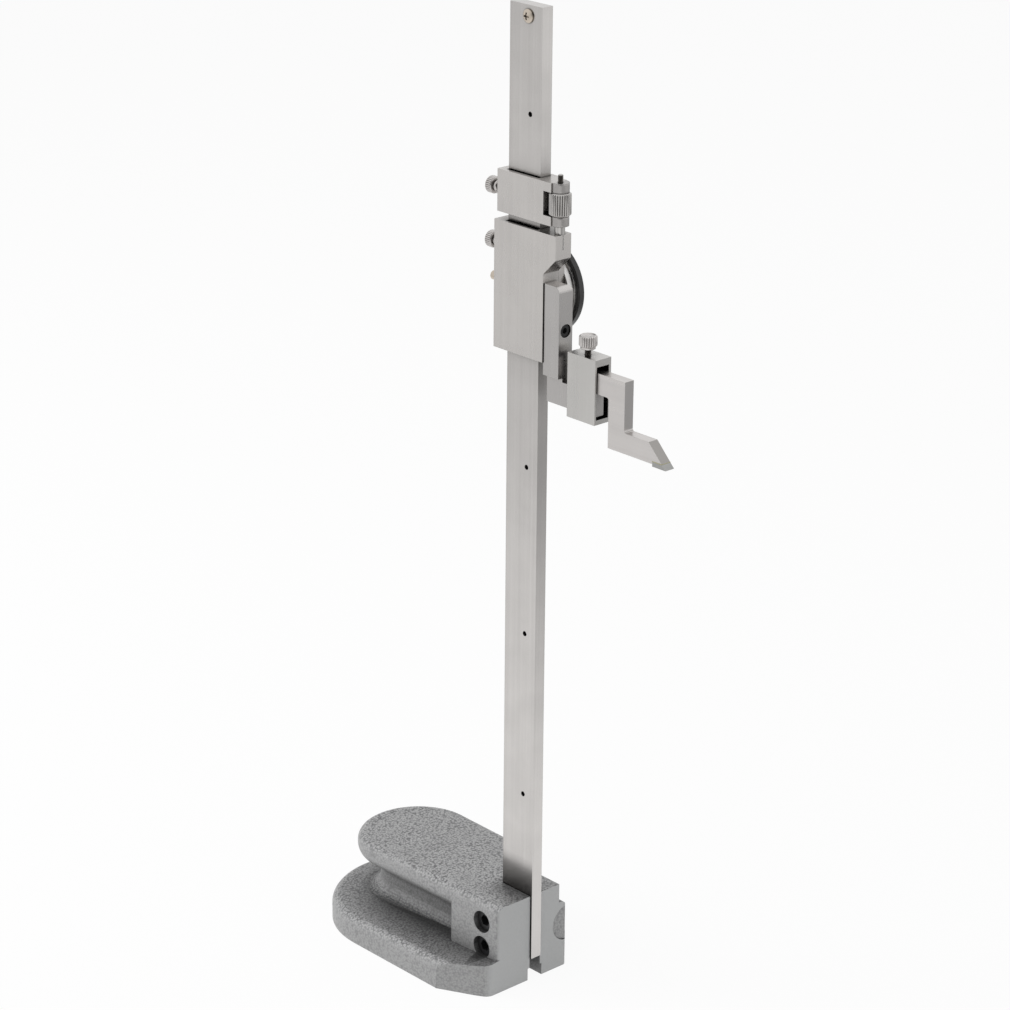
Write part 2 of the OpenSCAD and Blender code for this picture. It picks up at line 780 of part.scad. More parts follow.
module base_casting() {
    color(paint_grey)
    difference() {
        union() {
            flange_solid();
            top_pad_solid();
            end_block_solid();
        }
        at_beam() {
            block(-beam_w, beam_w / 2 + slot_gap, front_v - slot_gap, rear_v + slot_gap,
                -cut, base_h + cut);
            block(-beam_w, beam_w / 2 + slot_gap, front_v - slot_relief_w, rear_v + slot_relief_w,
                -cut, slot_relief_h);
        }
        for (i = [0, 1])
            translate([-end_face_l + clamp_screw_inset, 0, clamp_screw_z + i * clamp_screw_pitch]) {
                rod_v(counterbore_r, block_back_w - counterbore_d, base_end_r, 0, 0);
                rod_v(clamp_hole_r, block_back_w - counterbore_d - clamp_screw_l - cut, base_end_r, 0, 0);
            }
        translate([-end_face_l, patch_y, patch_z]) rotate([0, 90, 0])
            translate([0, 0, -patch_r]) cylinder(r = patch_r, h = patch_r + patch_d);
    }
}

module beam_clamp_screws() {
    color(black_oxide)
    for (i = [0, 1])
        translate([-end_face_l + clamp_screw_inset, block_back_w - counterbore_d,
                clamp_screw_z + i * clamp_screw_pitch])
            rotate([-90, 0, 0])
                socket_head(m6_r, m6_head_r, m6_head_h, m6_hex_r, m6_hex_d, clamp_screw_l);
}

// Beam, rack and stop
module beam() {
    color(steel_grey)
    at_beam()
    difference() {
        block(-beam_w / 2, beam_w / 2, front_v, rear_v, beam_foot_z, beam_top_z);
        block(rack_back_u, groove_end_u, front_v - cut, rack_floor_v, rack_z0 - run_gap, rack_z1 + run_gap);
        for (i = [0 : pin_count - 1])
            rod_v(pin_hole_r, front_v - cut, rear_v + cut, -pin_offset, first_pin_z + i * pin_pitch);
        for (i = [0, 1])
            rod_v(clamp_hole_r, front_v - cut, rear_v + cut,
                -end_face_l + clamp_screw_inset - beam_x, clamp_screw_z + i * clamp_screw_pitch);
        rod_v(stop_shank_r + shaft_gap, front_v - cut, rear_v + cut, stop_u, beam_top_z - stop_screw_drop);
    }
}

module rack() {
    first = ceil((rack_z0 - carriage_z - pinion_z) / rack_pitch);
    last = floor((rack_z1 - carriage_z - pinion_z) / rack_pitch) - 1;
    teeth = [for (k = [first : last]) each rack_tooth(carriage_z + pinion_z + (k + 1 / 2) * rack_pitch)];
    root_u = rack_line_u - rack_ded;
    outline = concat([[rack_back_u, rack_z0], [root_u, rack_z0]], teeth,
        [[root_u, rack_z1], [rack_back_u, rack_z1]]);
    color(steel_grey)
    at_beam()
    difference() {
        side_plate(outline, rack_front_v, rack_floor_v);
        for (i = [0 : pin_count - 1])
            rod_v(pin_r + shaft_gap / 2, rack_floor_v - pin_in_rack, rack_floor_v + cut,
                -pin_offset, first_pin_z + i * pin_pitch);
    }
}

module rack_pins() {
    color(steel_grey)
    at_beam()
    for (i = [0 : pin_count - 1])
        rod_v(pin_r, rack_floor_v - pin_in_rack, rear_v - pin_recess,
            -pin_offset, first_pin_z + i * pin_pitch);
}

module stop_screw() {
    color(brass_tone)
    at_beam()
    translate([stop_u, rear_v, beam_top_z - stop_screw_drop])
        rotate([-90, 0, 0])
            difference() {
                union() {
                    intersection() {
                        cylinder(r = stop_head_r, h = stop_head_h);
                        translate([0, 0, stop_head_h - stop_dome_r]) sphere(r = stop_dome_r);
                    }
                    translate([0, 0, -beam_t + stop_tail]) cylinder(r = stop_shank_r, h = beam_t);
                }
                for (a = [0, 90])
                    rotate(a)
                        translate([-stop_cross_l / 2, -stop_cross_w / 2, stop_head_h - stop_cross_d])
                            cube([stop_cross_l, stop_cross_w, stop_cross_d + cut]);
            }
}

// Carriage
module carriage_body() {
    color(steel_grey)
    at_carriage()
    difference() {
        side_plate([
            [lock_side_u, 0],
            [lock_side_u, frame_h],
            [corner_u, frame_h],
            [corner_u, frame_h - overhang_h],
            [jaw_side_u, frame_h - overhang_h - overhang_l],
            [jaw_side_u, 0]], frame_front_v, frame_back_v);
        block(-slot_half, slot_half, frame_front_v - cut, rear_v + back_gap, -cut, frame_h + cut);
        rod_u(m3_r + shaft_gap, 0, lock_side_u + cut, screw_v, lock_screw_z);
        rod_u(m25_r + shaft_gap, 0, lock_side_u + cut, screw_v, drag_screw_z);
        rod_u(m3_r + shaft_gap, jaw_side_u - cut, 0, jaw_screw_v, jaw_screw_z);
        for (s = [-1, 1])
            rod_u(dowel_r + shaft_gap, jaw_side_u - cut, jaw_side_u + dowel_in_frame + hole_gap,
                jaw_screw_v, jaw_screw_z + s * dowel_spacing);
        rod_z(shank_d / 2 + shaft_gap, frame_h - stud_anchor_d, frame_h + cut, stud_u, lug_v);
        plate_screw_places()
            rod_v(m25_r + shaft_gap, frame_front_v - cut,
                frame_front_v + plate_screw_l - front_plate_t + cut, 0, 0);
    }
}

module plate_screw_places() {
    for (u = [lock_side_u - plate_screw_inset_u, jaw_side_u + plate_screw_inset_u])
        for (z = [plate_screw_inset_z, frame_h - plate_screw_inset_z])
            translate([u, 0, z]) children();
}

module case_screw_places() {
    for (u = [-case_screw_u, case_screw_u])
        for (z = [-case_screw_up, case_screw_up])
            translate([u, 0, dial_z + z]) children();
}

module carriage_front_plate() {
    color(steel_grey)
    at_carriage()
    difference() {
        end_plate([
            [frame_front_v, 0],
            [frame_front_v, frame_h],
            [plate_front_v, frame_h],
            [plate_front_v, plate_bevel_h],
            [plate_front_v + plate_bevel_d, 0]], jaw_side_u, lock_side_u);
        rod_v(pocket_r, plate_front_v - cut, pocket_floor_v, 0, dial_z);
        rod_v(bush_r, plate_front_v - cut, frame_front_v + cut, pinion_u, pinion_z);
        rod_v(pivot_r + shaft_gap, plate_front_v - cut, pocket_floor_v + pivot_d + hole_gap, 0, dial_z);
        rod_v(pivot_r + shaft_gap, plate_front_v - cut, pocket_floor_v + pivot_d + hole_gap,
            -pinion_u, dial_z + centre_drop);
        plate_screw_places() {
            rod_v(m25_r + hole_gap, plate_front_v - cut, frame_front_v + cut, 0, 0);
            rod_v(m25_head_r + hole_gap, plate_front_v - cut, plate_front_v + plate_screw_sink, 0, 0);
        }
        case_screw_places()
            rod_v(m16_r + shaft_gap, plate_front_v - cut, plate_front_v + case_screw_l + hole_gap, 0, 0);
    }
}

module front_plate_screws() {
    color(black_oxide)
    at_carriage()
    plate_screw_places()
        translate([0, plate_front_v + plate_screw_sink, 0]) rotate([90, 0, 0])
            slotted_head(m25_r, m25_head_r, m25_head_h, plate_screw_l - plate_screw_sink);
}

module gib_strip() {
    color(brass_tone)
    at_carriage()
    block(-gib_w / 2, gib_w / 2, rear_v + run_gap, rear_v + run_gap + gib_t,
        gib_inset, frame_h - gib_inset);
}

module gib_spring() {
    foot_v = rear_v + run_gap + gib_t + run_gap / 4;
    inner = [for (i = [0 : spring_steps])
        [foot_v + spring_rise * sin(180 * i / spring_steps), 2 * gib_inset + spring_l * i / spring_steps]];
    outer = [for (i = [spring_steps : -1 : 0]) [inner[i][0] + spring_t, inner[i][1]]];
    color(bright_steel)
    at_carriage()
    end_plate(concat(inner, outer), -spring_w / 2, spring_w / 2);
}

module carriage_lock_screw() {
    color(bright_steel)
    at_carriage()
    translate([lock_side_u + thumb_reach - thumb_head_h - thumb_neck_h, screw_v, lock_screw_z])
        rotate([0, 90, 0])
            thumbscrew(thumb_head_r, thumb_head_h,
                lock_side_u + thumb_reach - thumb_head_h - thumb_neck_h - slot_half - pad_t - pad_gap / 3);
}

module carriage_lock_pad() {
    color(brass_tone)
    at_carriage()
    rod_u(m3_r, slot_half, slot_half + pad_t, screw_v, lock_screw_z);
}

module drag_screw() {
    head_u = lock_side_u + drag_reach - drag_head_h;
    color(brass_tone)
    at_carriage()
    translate([head_u, screw_v, drag_screw_z])
        rotate([0, 90, 0])
            slotted_head(m25_r, drag_head_r, drag_head_h, head_u - slot_half - pad_t - pad_gap / 3);
}

module drag_pad() {
    color(brass_tone)
    at_carriage()
    rod_u(m25_r, slot_half, slot_half + pad_t, screw_v, drag_screw_z);
}

// Jaw and scriber
module jaw() {
    upright = concat([
        [jaw_side_u, jaw_root_z],
        [jaw_side_u, jaw_top_z]],
        arc(jaw_out_u + jaw_top_r, jaw_top_z - jaw_top_r, jaw_top_r, 90, 180, 6),
        [[jaw_out_u, jaw_root_z]]);
    color(steel_grey)
    at_carriage()
    difference() {
        union() {
            side_plate(upright, jaw_front_v, jaw_back_v);
            side_plate([
                [jaw_side_u, arm_bottom_z],
                [jaw_side_u, jaw_root_z],
                [jaw_out_u, jaw_root_z],
                [jaw_out_u, arm_top_z],
                [arm_end_u, arm_top_z],
                [arm_end_u, arm_bottom_z]], arm_front_v, arm_back_v);
        }
        end_plate([
            [jaw_front_v - cut, jaw_top_z + cut],
            [jaw_front_v - cut, jaw_top_z - jaw_top_chamfer - cut],
            [jaw_front_v + jaw_top_chamfer + cut, jaw_top_z + cut]], jaw_out_u - cut, jaw_side_u + cut);
        linear_extrude(jaw_top_z + cut) polygon([
            [jaw_side_u + cut, jaw_back_v + cut],
            [jaw_side_u + cut, jaw_back_v - jaw_edge_chamfer - cut],
            [jaw_side_u - jaw_edge_chamfer - cut, jaw_back_v + cut]]);
        rod_u(m3_head_r + seat_gap, jaw_out_u - cut, jaw_out_u + jaw_counterbore_d,
            jaw_screw_v, jaw_screw_z);
        rod_u(m3_r + hole_gap, jaw_out_u - cut, jaw_side_u + cut, jaw_screw_v, jaw_screw_z);
        for (s = [-1, 1])
            rod_u(dowel_r + shaft_gap, jaw_side_u - dowel_l + dowel_in_frame - hole_gap, jaw_side_u + cut,
                jaw_screw_v, jaw_screw_z + s * dowel_spacing);
    }
}

module jaw_screw() {
    color(black_oxide)
    at_carriage()
    translate([jaw_out_u + jaw_counterbore_d, jaw_screw_v, jaw_screw_z])
        rotate([0, -90, 0])
            socket_head(m3_r, m3_head_r, m3_head_h, m3_hex_r, m3_hex_d,
                jaw_w + jaw_wall - jaw_counterbore_d - seat_gap);
}

module jaw_dowels() {
    color(bright_steel)
    at_carriage()
    for (s = [-1, 1])
        rod_u(dowel_r, jaw_side_u + dowel_in_frame - dowel_l, jaw_side_u + dowel_in_frame,
            jaw_screw_v, jaw_screw_z + s * dowel_spacing);
}

module scriber_clamp_box() {
    color(steel_grey)
    at_carriage()
    difference() {
        block(box_u0, box_u1, box_in_front_v - box_front_wall, box_in_back_v + box_back_wall,
            box_bottom_z, box_top_z);
        block(box_u0 - cut, box_u1 + cut, box_in_front_v, box_in_back_v, box_in_bottom_z, box_in_top_z);
        rod_z(m3_r + shaft_gap, box_in_top_z - cut, box_top_z + cut, box_screw_u, box_screw_v);
    }
}

module scriber_clamp_screw() {
    head_z = box_top_z + box_head_lift;
    color(bright_steel)
    at_carriage() {
        translate([box_screw_u, box_screw_v, head_z])
            knurled_drum(box_head_r, box_head_h, knurl_depth, knurl_count);
        rod_z(m3_r, tang_top_z + shaft_gap, head_z + box_head_h / 2, box_screw_u, box_screw_v);
    }
}

module scriber() {
    color(steel_grey)
    at_carriage()
    side_plate(concat([
        [tang_u1, tang_bottom_z],
        [tang_u1, tang_top_z],
        [upright_u0, tang_top_z]],
        arc(upright_u0 - scriber_inner_r, foot_top_z + scriber_inner_r, scriber_inner_r, 0, -90, 5),
        [[foot_u0, foot_top_z],
        [tip_slant_u, tip_top_z],
        [tip_u1, tip_top_z],
        [tip_u1, foot_bottom_z],
        [upright_u1, foot_bottom_z]],
        arc(upright_u1 + scriber_inner_r, tang_bottom_z - scriber_inner_r, scriber_inner_r, 180, 90, 5)),
        scriber_front_v, scriber_back_v);
}

module carbide_tip() {
    color(carbide_grey)
    at_carriage()
    side_plate([
        [tip_u1, tip_bottom_z],
        [tip_u1, tip_top_z],
        [tip_slant_u, tip_top_z],
        [tip_u0, tip_bottom_z]], scriber_front_v, scriber_back_v);
}

// Fine adjustment
module fine_adjust_block() {
    color(steel_grey)
    at_carriage()
    difference() {
        union() {
            block(stud_u + lug_shoulder, fine_lock_u, fine_front_v, fine_back_v, fine_bottom_z, fine_top_z);
            rod_z(lug_r, fine_bottom_z, fine_top_z, stud_u, lug_v);
        }
        block(stud_u - lug_r - cut, window_u, fine_front_v - cut, fine_back_v + cut,
            lower_lug_top_z, upper_lug_bottom_z);
        block(-slot_half, slot_half, fine_front_v - cut, rear_v + fine_back_gap,
            fine_bottom_z - cut, fine_top_z + cut);
        rod_z(shank_d / 2 + hole_gap, fine_bottom_z - cut, lower_lug_top_z + cut, stud_u, lug_v);
        rod_z(stud_d / 2 + hole_gap, upper_lug_bottom_z - cut, fine_top_z + cut, stud_u, lug_v);
        rod_u(m3_r + shaft_gap, 0, fine_lock_u + cut, screw_v, fine_lock_z);
        cover_screw_places()
            rod_v(m2_r + shaft_gap, fine_front_v - cut, fine_front_v + cover_screw_l, 0, 0);
    }
}

module cover_screw_places() {
    for (s = [-1, 1])
        for (z = [fine_bottom_z + cover_screw_inset_z, fine_top_z - cover_screw_inset_z])
            translate([s * (fine_lock_u - cover_screw_inset_u), 0, z]) children();
}

module fine_adjust_cover() {
    color(steel_grey)
    at_carriage()
    difference() {
        block(fine_cover_u0, fine_lock_u, fine_front_v - fine_cover_t, fine_front_v,
            fine_bottom_z, fine_top_z);
        cover_screw_places()
            rod_v(m2_r + hole_gap, fine_front_v - fine_cover_t - cut, fine_front_v + cut, 0, 0);
    }
}

module fine_adjust_cover_screws() {
    color(black_oxide)
    at_carriage()
    cover_screw_places()
        translate([0, fine_front_v - fine_cover_t, 0]) rotate([90, 0, 0])
            slotted_head(m2_r, m2_head_r, m2_head_h, cover_screw_l + fine_cover_t - seat_gap);
}

module fine_adjust_lock_screw() {
    neck_u = lock_side_u + thumb_reach - thumb_head_h - thumb_neck_h;
    color(bright_steel)
    at_carriage()
    translate([neck_u, screw_v, fine_lock_z])
        rotate([0, 90, 0])
            thumbscrew(thumb_head_r, thumb_head_h, neck_u - slot_half - pad_t - pad_gap / 3);
}

module fine_adjust_pad() {
    color(brass_tone)
    at_carriage()
    rod_u(m3_r, slot_half, slot_half + pad_t, screw_v, fine_lock_z);
}

module fine_adjust_nut() {
    z0 = lower_lug_top_z + nut_end_gap;
    z1 = upper_lug_bottom_z - nut_end_gap;
    color(bright_steel)
    at_carriage()
    translate([stud_u, lug_v, z0])
        difference() {
            knurled_drum(nut_r, z1 - z0, nut_knurl_depth, nut_knurl_count);
            translate([0, 0, -cut]) cylinder(r = stud_d / 2 + shaft_gap, h = z1 - z0 + 2 * cut);
        }
}

module fine_adjust_stud() {
    color(bright_steel)
    at_carriage() {
        rod_z(shank_d / 2, frame_h - stud_anchor_d + hole_gap, fine_bottom_z + shank_in_lug, stud_u, lug_v);
        rod_z(stud_d / 2, fine_bottom_z, fine_top_z + stud_above, stud_u, lug_v);
    }
}

// Dial
module dial_case() {
    color(bright_steel)
    at_carriage()
    difference() {
        dial_turned([
            [case_hole_r, 0],
            [case_wall_r, 0],
            [case_wall_r, case_depth - case_flange_t],
            [case_flange_d / 2, case_depth - case_flange_t],
            [case_flange_d / 2, case_depth],
            [case_mouth_r, case_depth],
            [case_mouth_r, case_depth - snap_drop],
            [case_mouth_r + snap_in, case_depth - snap_drop],
            [case_mouth_r + snap_in, case_depth - snap_drop - snap_w],
            [case_mouth_r, case_depth - snap_drop - snap_w],
            [case_mouth_r, case_depth - skirt_depth - seat_gap],
            [case_room_r, case_depth - skirt_depth - seat_gap],
            [case_room_r, case_floor_t],
            [case_hole_r, case_floor_t]]);
        case_screw_places()
            rod_v(m16_r + hole_gap, plate_front_v - case_floor_t - cut, plate_front_v + cut, 0, 0);
    }
}

module case_screws() {
    color(bright_steel)
    at_carriage()
    case_screw_places()
        translate([0, plate_front_v - case_floor_t, 0]) rotate([90, 0, 0])
            slotted_head(m16_r, m16_head_r, m16_head_h, case_screw_l + case_floor_t);
}

module bezel() {
    color(black_oxide)
    at_carriage()
    dial_turned([
        [skirt_r - skirt_t, case_depth - skirt_depth],
        [skirt_r, case_depth - skirt_depth],
        [skirt_r, case_depth - snap_drop - snap_w],
        [skirt_r - snap_in, case_depth - snap_drop - snap_w],
        [skirt_r - snap_in, case_depth - snap_drop],
        [skirt_r, case_depth - snap_drop],
        [skirt_r, case_depth + run_gap],
        [bezel_r, case_depth + run_gap],
        [bezel_r, case_depth + bezel_t - bezel_bevel_h],
        [bezel_front_r, case_depth + bezel_t],
        [bezel_open_r, case_depth + bezel_t],
        [bezel_open_r, case_depth + bezel_t - crystal_seat],
        [crystal_r + hole_gap, case_depth + bezel_t - crystal_seat],
        [crystal_r + hole_gap, case_depth + bezel_t - crystal_seat - crystal_t],
        [bezel_open_r, case_depth + bezel_t - crystal_seat - crystal_t],
        [bezel_open_r, case_depth + run_gap],
        [skirt_r - skirt_t, case_depth + run_gap]]);
}

module bezel_spring() {
    mean_r = (case_mouth_r + skirt_r) / 2;
    half_w = (case_mouth_r - skirt_r) / 2 + snap_in / 2;
    low = case_depth - snap_drop - snap_w + hole_gap / 2;
    high = case_depth - snap_drop - hole_gap / 2;
    color(bright_steel)
    at_carriage()
    translate([0, plate_front_v, dial_z]) rotate([90, 0, 0])
        rotate([0, 0, 90 + snap_gap_angle / 2])
            rotate_extrude(angle = 360 - snap_gap_angle)
                polygon([
                    [mean_r - half_w, low],
                    [mean_r + half_w, low],
                    [mean_r + half_w, high],
                    [mean_r - half_w, high]]);
}

module dial_face() {
    color(dial_white)
    at_carriage()
    dial_turned([
        [face_hole_r, case_depth - skirt_depth - face_t],
        [face_r, case_depth - skirt_depth - face_t],
        [face_r, case_depth - skirt_depth],
        [face_hole_r, case_depth - skirt_depth]]);
}

module crystal() {
    color(glass_clear)
    at_carriage()
    dial_turned([
        [0, case_depth + bezel_t - crystal_seat - crystal_t],
        [crystal_r, case_depth + bezel_t - crystal_seat - crystal_t],
        [crystal_r, case_depth + bezel_t - crystal_seat],
        [0, case_depth + bezel_t - crystal_seat]]);
}

module pointer() {
    back = plate_front_v - case_depth - pointer_lift;
    color(black_oxide)
    at_carriage()
    difference() {
        union() {
            rod_v(pointer_hub_r, back - pointer_hub_t, back, 0, dial_z);
            translate([0, 0, dial_z]) rotate([0, pointer_angle, 0])
                side_plate([
                    [-pointer_tail_w / 2, -pointer_tail],
                    [pointer_tail_w / 2, -pointer_tail],
                    [pointer_w / 2, 0],
                    [pointer_tip_w / 2, pointer_l],
                    [-pointer_tip_w / 2, pointer_l],
                    [-pointer_w / 2, 0]], back - pointer_t, back);
        }
        rod_v(arbor_r + shaft_gap / 2, back - pointer_hub_t / 2, back + cut, 0, dial_z);
    }
}

// Movement
module rack_pinion() {
    rack_v0 = rack_front_v - run_gap / 2;
    color(bright_steel)
    at_carriage() {
        gear(gear_points(pinion_teeth, rack_pitch_r, pinion_add, pinion_ded, 0),
            rack_v0, rack_floor_v - seat_gap, pinion_u, pinion_z, 0);
        rod_v(pinion_arbor_r, wheel_v - wheel_t - seat_gap, rack_v0 + cut, pinion_u, pinion_z);
        rod_v(pivot_r, bridge_v - bridge_t, wheel_v, pinion_u, pinion_z);
    }
}

module wheel(u, z) {
    difference() {
        gear(gear_points(wheel_teeth, wheel_r, wheel_add, wheel_ded, wheel_play),
            wheel_v - wheel_t, wheel_v, u, z, mesh_angle);
        for (i = [0 : spoke_count - 1])
            translate([u, 0, z]) rotate([0, 360 * i / spoke_count, 0])
                rod_v(spoke_hole_r, wheel_v - wheel_t - cut, wheel_v + cut, spoke_ring_r, 0);
        rod_v(pinion_arbor_r + shaft_gap / 2, wheel_v - wheel_t - cut, wheel_v + cut, u, z);
    }
}

module drive_gear() {
    color(brass_tone)
    at_carriage()
    wheel(pinion_u, pinion_z);
}

module pinion_bush() {
    color(brass_tone)
    at_carriage()
    difference() {
        union() {
            rod_v(bush_r - shaft_gap / 2, pocket_floor_v - bush_flange_t, frame_front_v - run_gap,
                pinion_u, pinion_z);
            rod_v(bush_flange_r, pocket_floor_v - bush_flange_t, pocket_floor_v, pinion_u, pinion_z);
        }
        rod_v(pinion_arbor_r + shaft_gap, pocket_floor_v - bush_flange_t - cut, frame_front_v + cut,
            pinion_u, pinion_z);
    }
}

module pointer_pinion() {
    pointer_back = plate_front_v - case_depth - pointer_lift;
    color(bright_steel)
    at_carriage() {
        gear(gear_points(pinion_teeth, centre_r, centre_add, centre_ded, wheel_play),
            centre_front_v - seat_gap, centre_back_v, 0, dial_z, mesh_angle + half_tooth);
        rod_v(pivot_r, pointer_back, pocket_floor_v + pivot_d, 0, dial_z);
        rod_v(arbor_r, pointer_back - pointer_hub_t / 2, bridge_v - bridge_t - seat_gap, 0, dial_z);
    }
}

module take_up_gear() {
    color(brass_tone)
    at_carriage() {
        wheel(-pinion_u, dial_z + centre_drop);
        rod_v(pinion_arbor_r, wheel_v - wheel_t - hair_gap / 4, wheel_v + hair_gap / 4,
            -pinion_u, dial_z + centre_drop);
        rod_v(pinion_arbor_r + shaft_gap, wheel_v - wheel_t - hair_gap / 4, wheel_v - wheel_t / 2,
            -pinion_u, dial_z + centre_drop);
        rod_v(pivot_r, bridge_v - bridge_t, pocket_floor_v + pivot_d, -pinion_u, dial_z + centre_drop);
    }
}

// The spring winds out from the take-up wheel's arbor to a fixed end
module hairspring() {
    steps = hair_turns * hair_steps;
    inner = [for (i = [0 : steps]) polar(hair_in_r + hair_pitch * i / hair_steps, 360 * i / hair_steps)];
    outer = [for (i = [steps : -1 : 0])
        polar(hair_in_r + hair_t + hair_pitch * i / hair_steps, 360 * i / hair_steps)];
    color(bright_steel)
    at_carriage()
    gear(concat(inner, outer), wheel_v + hair_gap / 2, wheel_v + hair_gap / 2 + hair_w,
        -pinion_u, dial_z + centre_drop, 0);
}

module movement_bridge() {
    color(brass_tone)
    at_carriage()
    difference() {
        union() {
            block(-bridge_half_l, bridge_half_l, bridge_v - bridge_t, bridge_v,
                dial_z - bridge_w / 2, dial_z + bridge_w / 2);
            block(-bridge_w / 2, bridge_w / 2, bridge_v - bridge_t, bridge_v,
                dial_z - bridge_arm, dial_z + bridge_arm);
        }
        rod_v(arbor_r + shaft_gap, bridge_v - bridge_t - cut, bridge_v + cut, 0, dial_z);
        rod_v(pivot_r + shaft_gap, bridge_v - bridge_t - cut, bridge_v + cut, pinion_u, pinion_z);
        rod_v(pivot_r + shaft_gap, bridge_v - bridge_t - cut, bridge_v + cut,
            -pinion_u, dial_z + centre_drop);
        for (s = [-1, 1])
            rod_v(m16_r + hole_gap, bridge_v - bridge_t - cut, bridge_v + cut, s * pillar_u, dial_z);
    }
}

module movement_pillars() {
    color(brass_tone)
    at_carriage()
    difference() {
        for (s = [-1, 1])
            rod_v(pillar_r, bridge_v, pocket_floor_v, s * pillar_u, dial_z);
        for (s = [-1, 1])
            rod_v(m16_r + shaft_gap, bridge_v - cut, pocket_floor_v + cut, s * pillar_u, dial_z);
    }
}

module bridge_screws() {
    color(bright_steel)
    at_carriage()
    for (s = [-1, 1])
        translate([s * pillar_u, bridge_v - bridge_t, dial_z]) rotate([90, 0, 0])
            slotted_head(m16_r, m16_head_r, m16_head_h, bridge_t + pocket_floor_v - bridge_v - seat_gap);
}

base_casting();
beam_clamp_screws();
beam();
rack();
rack_pins();
stop_screw();
carriage_body();
carriage_front_plate();
front_plate_screws();
gib_strip();
gib_spring();
carriage_lock_screw();
carriage_lock_pad();
drag_screw();
drag_pad();
jaw();
jaw_screw();
jaw_dowels();
scriber_clamp_box();
scriber_clamp_screw();
scriber();
carbide_tip();
fine_adjust_block();
fine_adjust_cover();
fine_adjust_cover_screws();
fine_adjust_lock_screw();
fine_adjust_pad();
fine_adjust_nut();
fine_adjust_stud();
dial_case();
case_screws();
bezel();
bezel_spring();
dial_face();
crystal();
pointer();
rack_pinion();
drive_gear();
pinion_bush();
pointer_pinion();
take_up_gear();
hairspring();
movement_bridge();
movement_pillars();
bridge_screws();
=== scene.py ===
# %% [markdown]
# # A dial height gauge, dressed for its portrait
#
# The height gauge stands on a surface plate and carries a scriber up and down a steel beam.
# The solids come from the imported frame, so every size is settled before this file starts.
# What is left is the surface of things: hammered paint, ground steel, knurls that catch
# the light, and the fine printing on the dial.

import math

import bmesh
import bpy
import numpy as np
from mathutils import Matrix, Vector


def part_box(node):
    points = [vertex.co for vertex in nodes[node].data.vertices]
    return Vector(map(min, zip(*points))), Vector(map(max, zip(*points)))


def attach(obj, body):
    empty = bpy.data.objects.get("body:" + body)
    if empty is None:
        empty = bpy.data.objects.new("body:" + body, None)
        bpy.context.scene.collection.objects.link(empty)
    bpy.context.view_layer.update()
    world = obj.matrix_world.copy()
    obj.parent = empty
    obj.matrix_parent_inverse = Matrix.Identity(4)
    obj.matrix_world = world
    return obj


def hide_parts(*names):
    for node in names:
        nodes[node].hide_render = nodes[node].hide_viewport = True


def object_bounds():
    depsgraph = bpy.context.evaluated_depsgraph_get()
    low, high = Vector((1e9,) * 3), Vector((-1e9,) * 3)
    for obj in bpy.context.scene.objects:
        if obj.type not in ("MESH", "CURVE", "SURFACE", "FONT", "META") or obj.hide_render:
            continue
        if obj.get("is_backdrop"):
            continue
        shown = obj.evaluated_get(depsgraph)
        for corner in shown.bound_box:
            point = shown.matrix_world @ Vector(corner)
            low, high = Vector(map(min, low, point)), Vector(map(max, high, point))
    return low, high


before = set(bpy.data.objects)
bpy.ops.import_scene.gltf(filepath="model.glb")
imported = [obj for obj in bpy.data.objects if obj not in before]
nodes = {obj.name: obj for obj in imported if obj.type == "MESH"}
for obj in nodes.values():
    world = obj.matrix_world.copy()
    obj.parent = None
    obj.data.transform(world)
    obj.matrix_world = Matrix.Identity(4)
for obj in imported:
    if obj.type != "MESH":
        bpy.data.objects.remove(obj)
cad_low, cad_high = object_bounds()
spans = [round(b - a, 4) for a, b in zip(cad_low, cad_high)]
print("the frame has", len(nodes), "nodes and spans", spans, "m")

MM = 0.001

# %% [markdown]
# ## The camera
#
# The photograph looks at the back of the gauge from above, so the camera stands well away
# with a long lens. Its place was worked out from the beam's edges and the row of pin holes.
# A long lens far off keeps the upright edges of the beam nearly parallel.

# %% Camera
import mathutils

SENSOR_W, LENS, FARTHEST = 36, 116.52, 20
CAMERA_PLACE = (-1071.19 * MM, 936.76 * MM, 748.88 * MM)
CAMERA_ANGLES = (227.3221, 20.63, 0.4821)

camera_data = bpy.data.cameras.new("camera")
camera_data.sensor_width = SENSOR_W
camera_data.lens = LENS
camera_data.clip_end = FARTHEST
camera = bpy.data.objects.new("camera", camera_data)
bpy.context.scene.collection.objects.link(camera)
azimuth, elevation, roll = (math.radians(angle) for angle in CAMERA_ANGLES)
camera_back = mathutils.Vector((
    math.sin(azimuth) * math.cos(elevation),
    -math.cos(azimuth) * math.cos(elevation),
    math.sin(elevation)))
camera.location = CAMERA_PLACE
turn = (-camera_back).to_track_quat("-Z", "Y") @ mathutils.Quaternion((0, 0, 1), roll)
camera.rotation_mode = "QUATERNION"
camera.rotation_quaternion = turn
bpy.context.scene.camera = camera
print("camera at", [round(v, 3) for v in camera.location], "m, lens", round(camera_data.lens, 1), "mm")

# %% [markdown]
# ## Small helpers for node trees
#
# A shader tree is a list of nodes and wires. Short helpers keep the material cells readable:
# the first makes a node and fills its sockets, the next three blend, calculate and map values,
# and the rest make and place groups, make materials and give them to a piece.

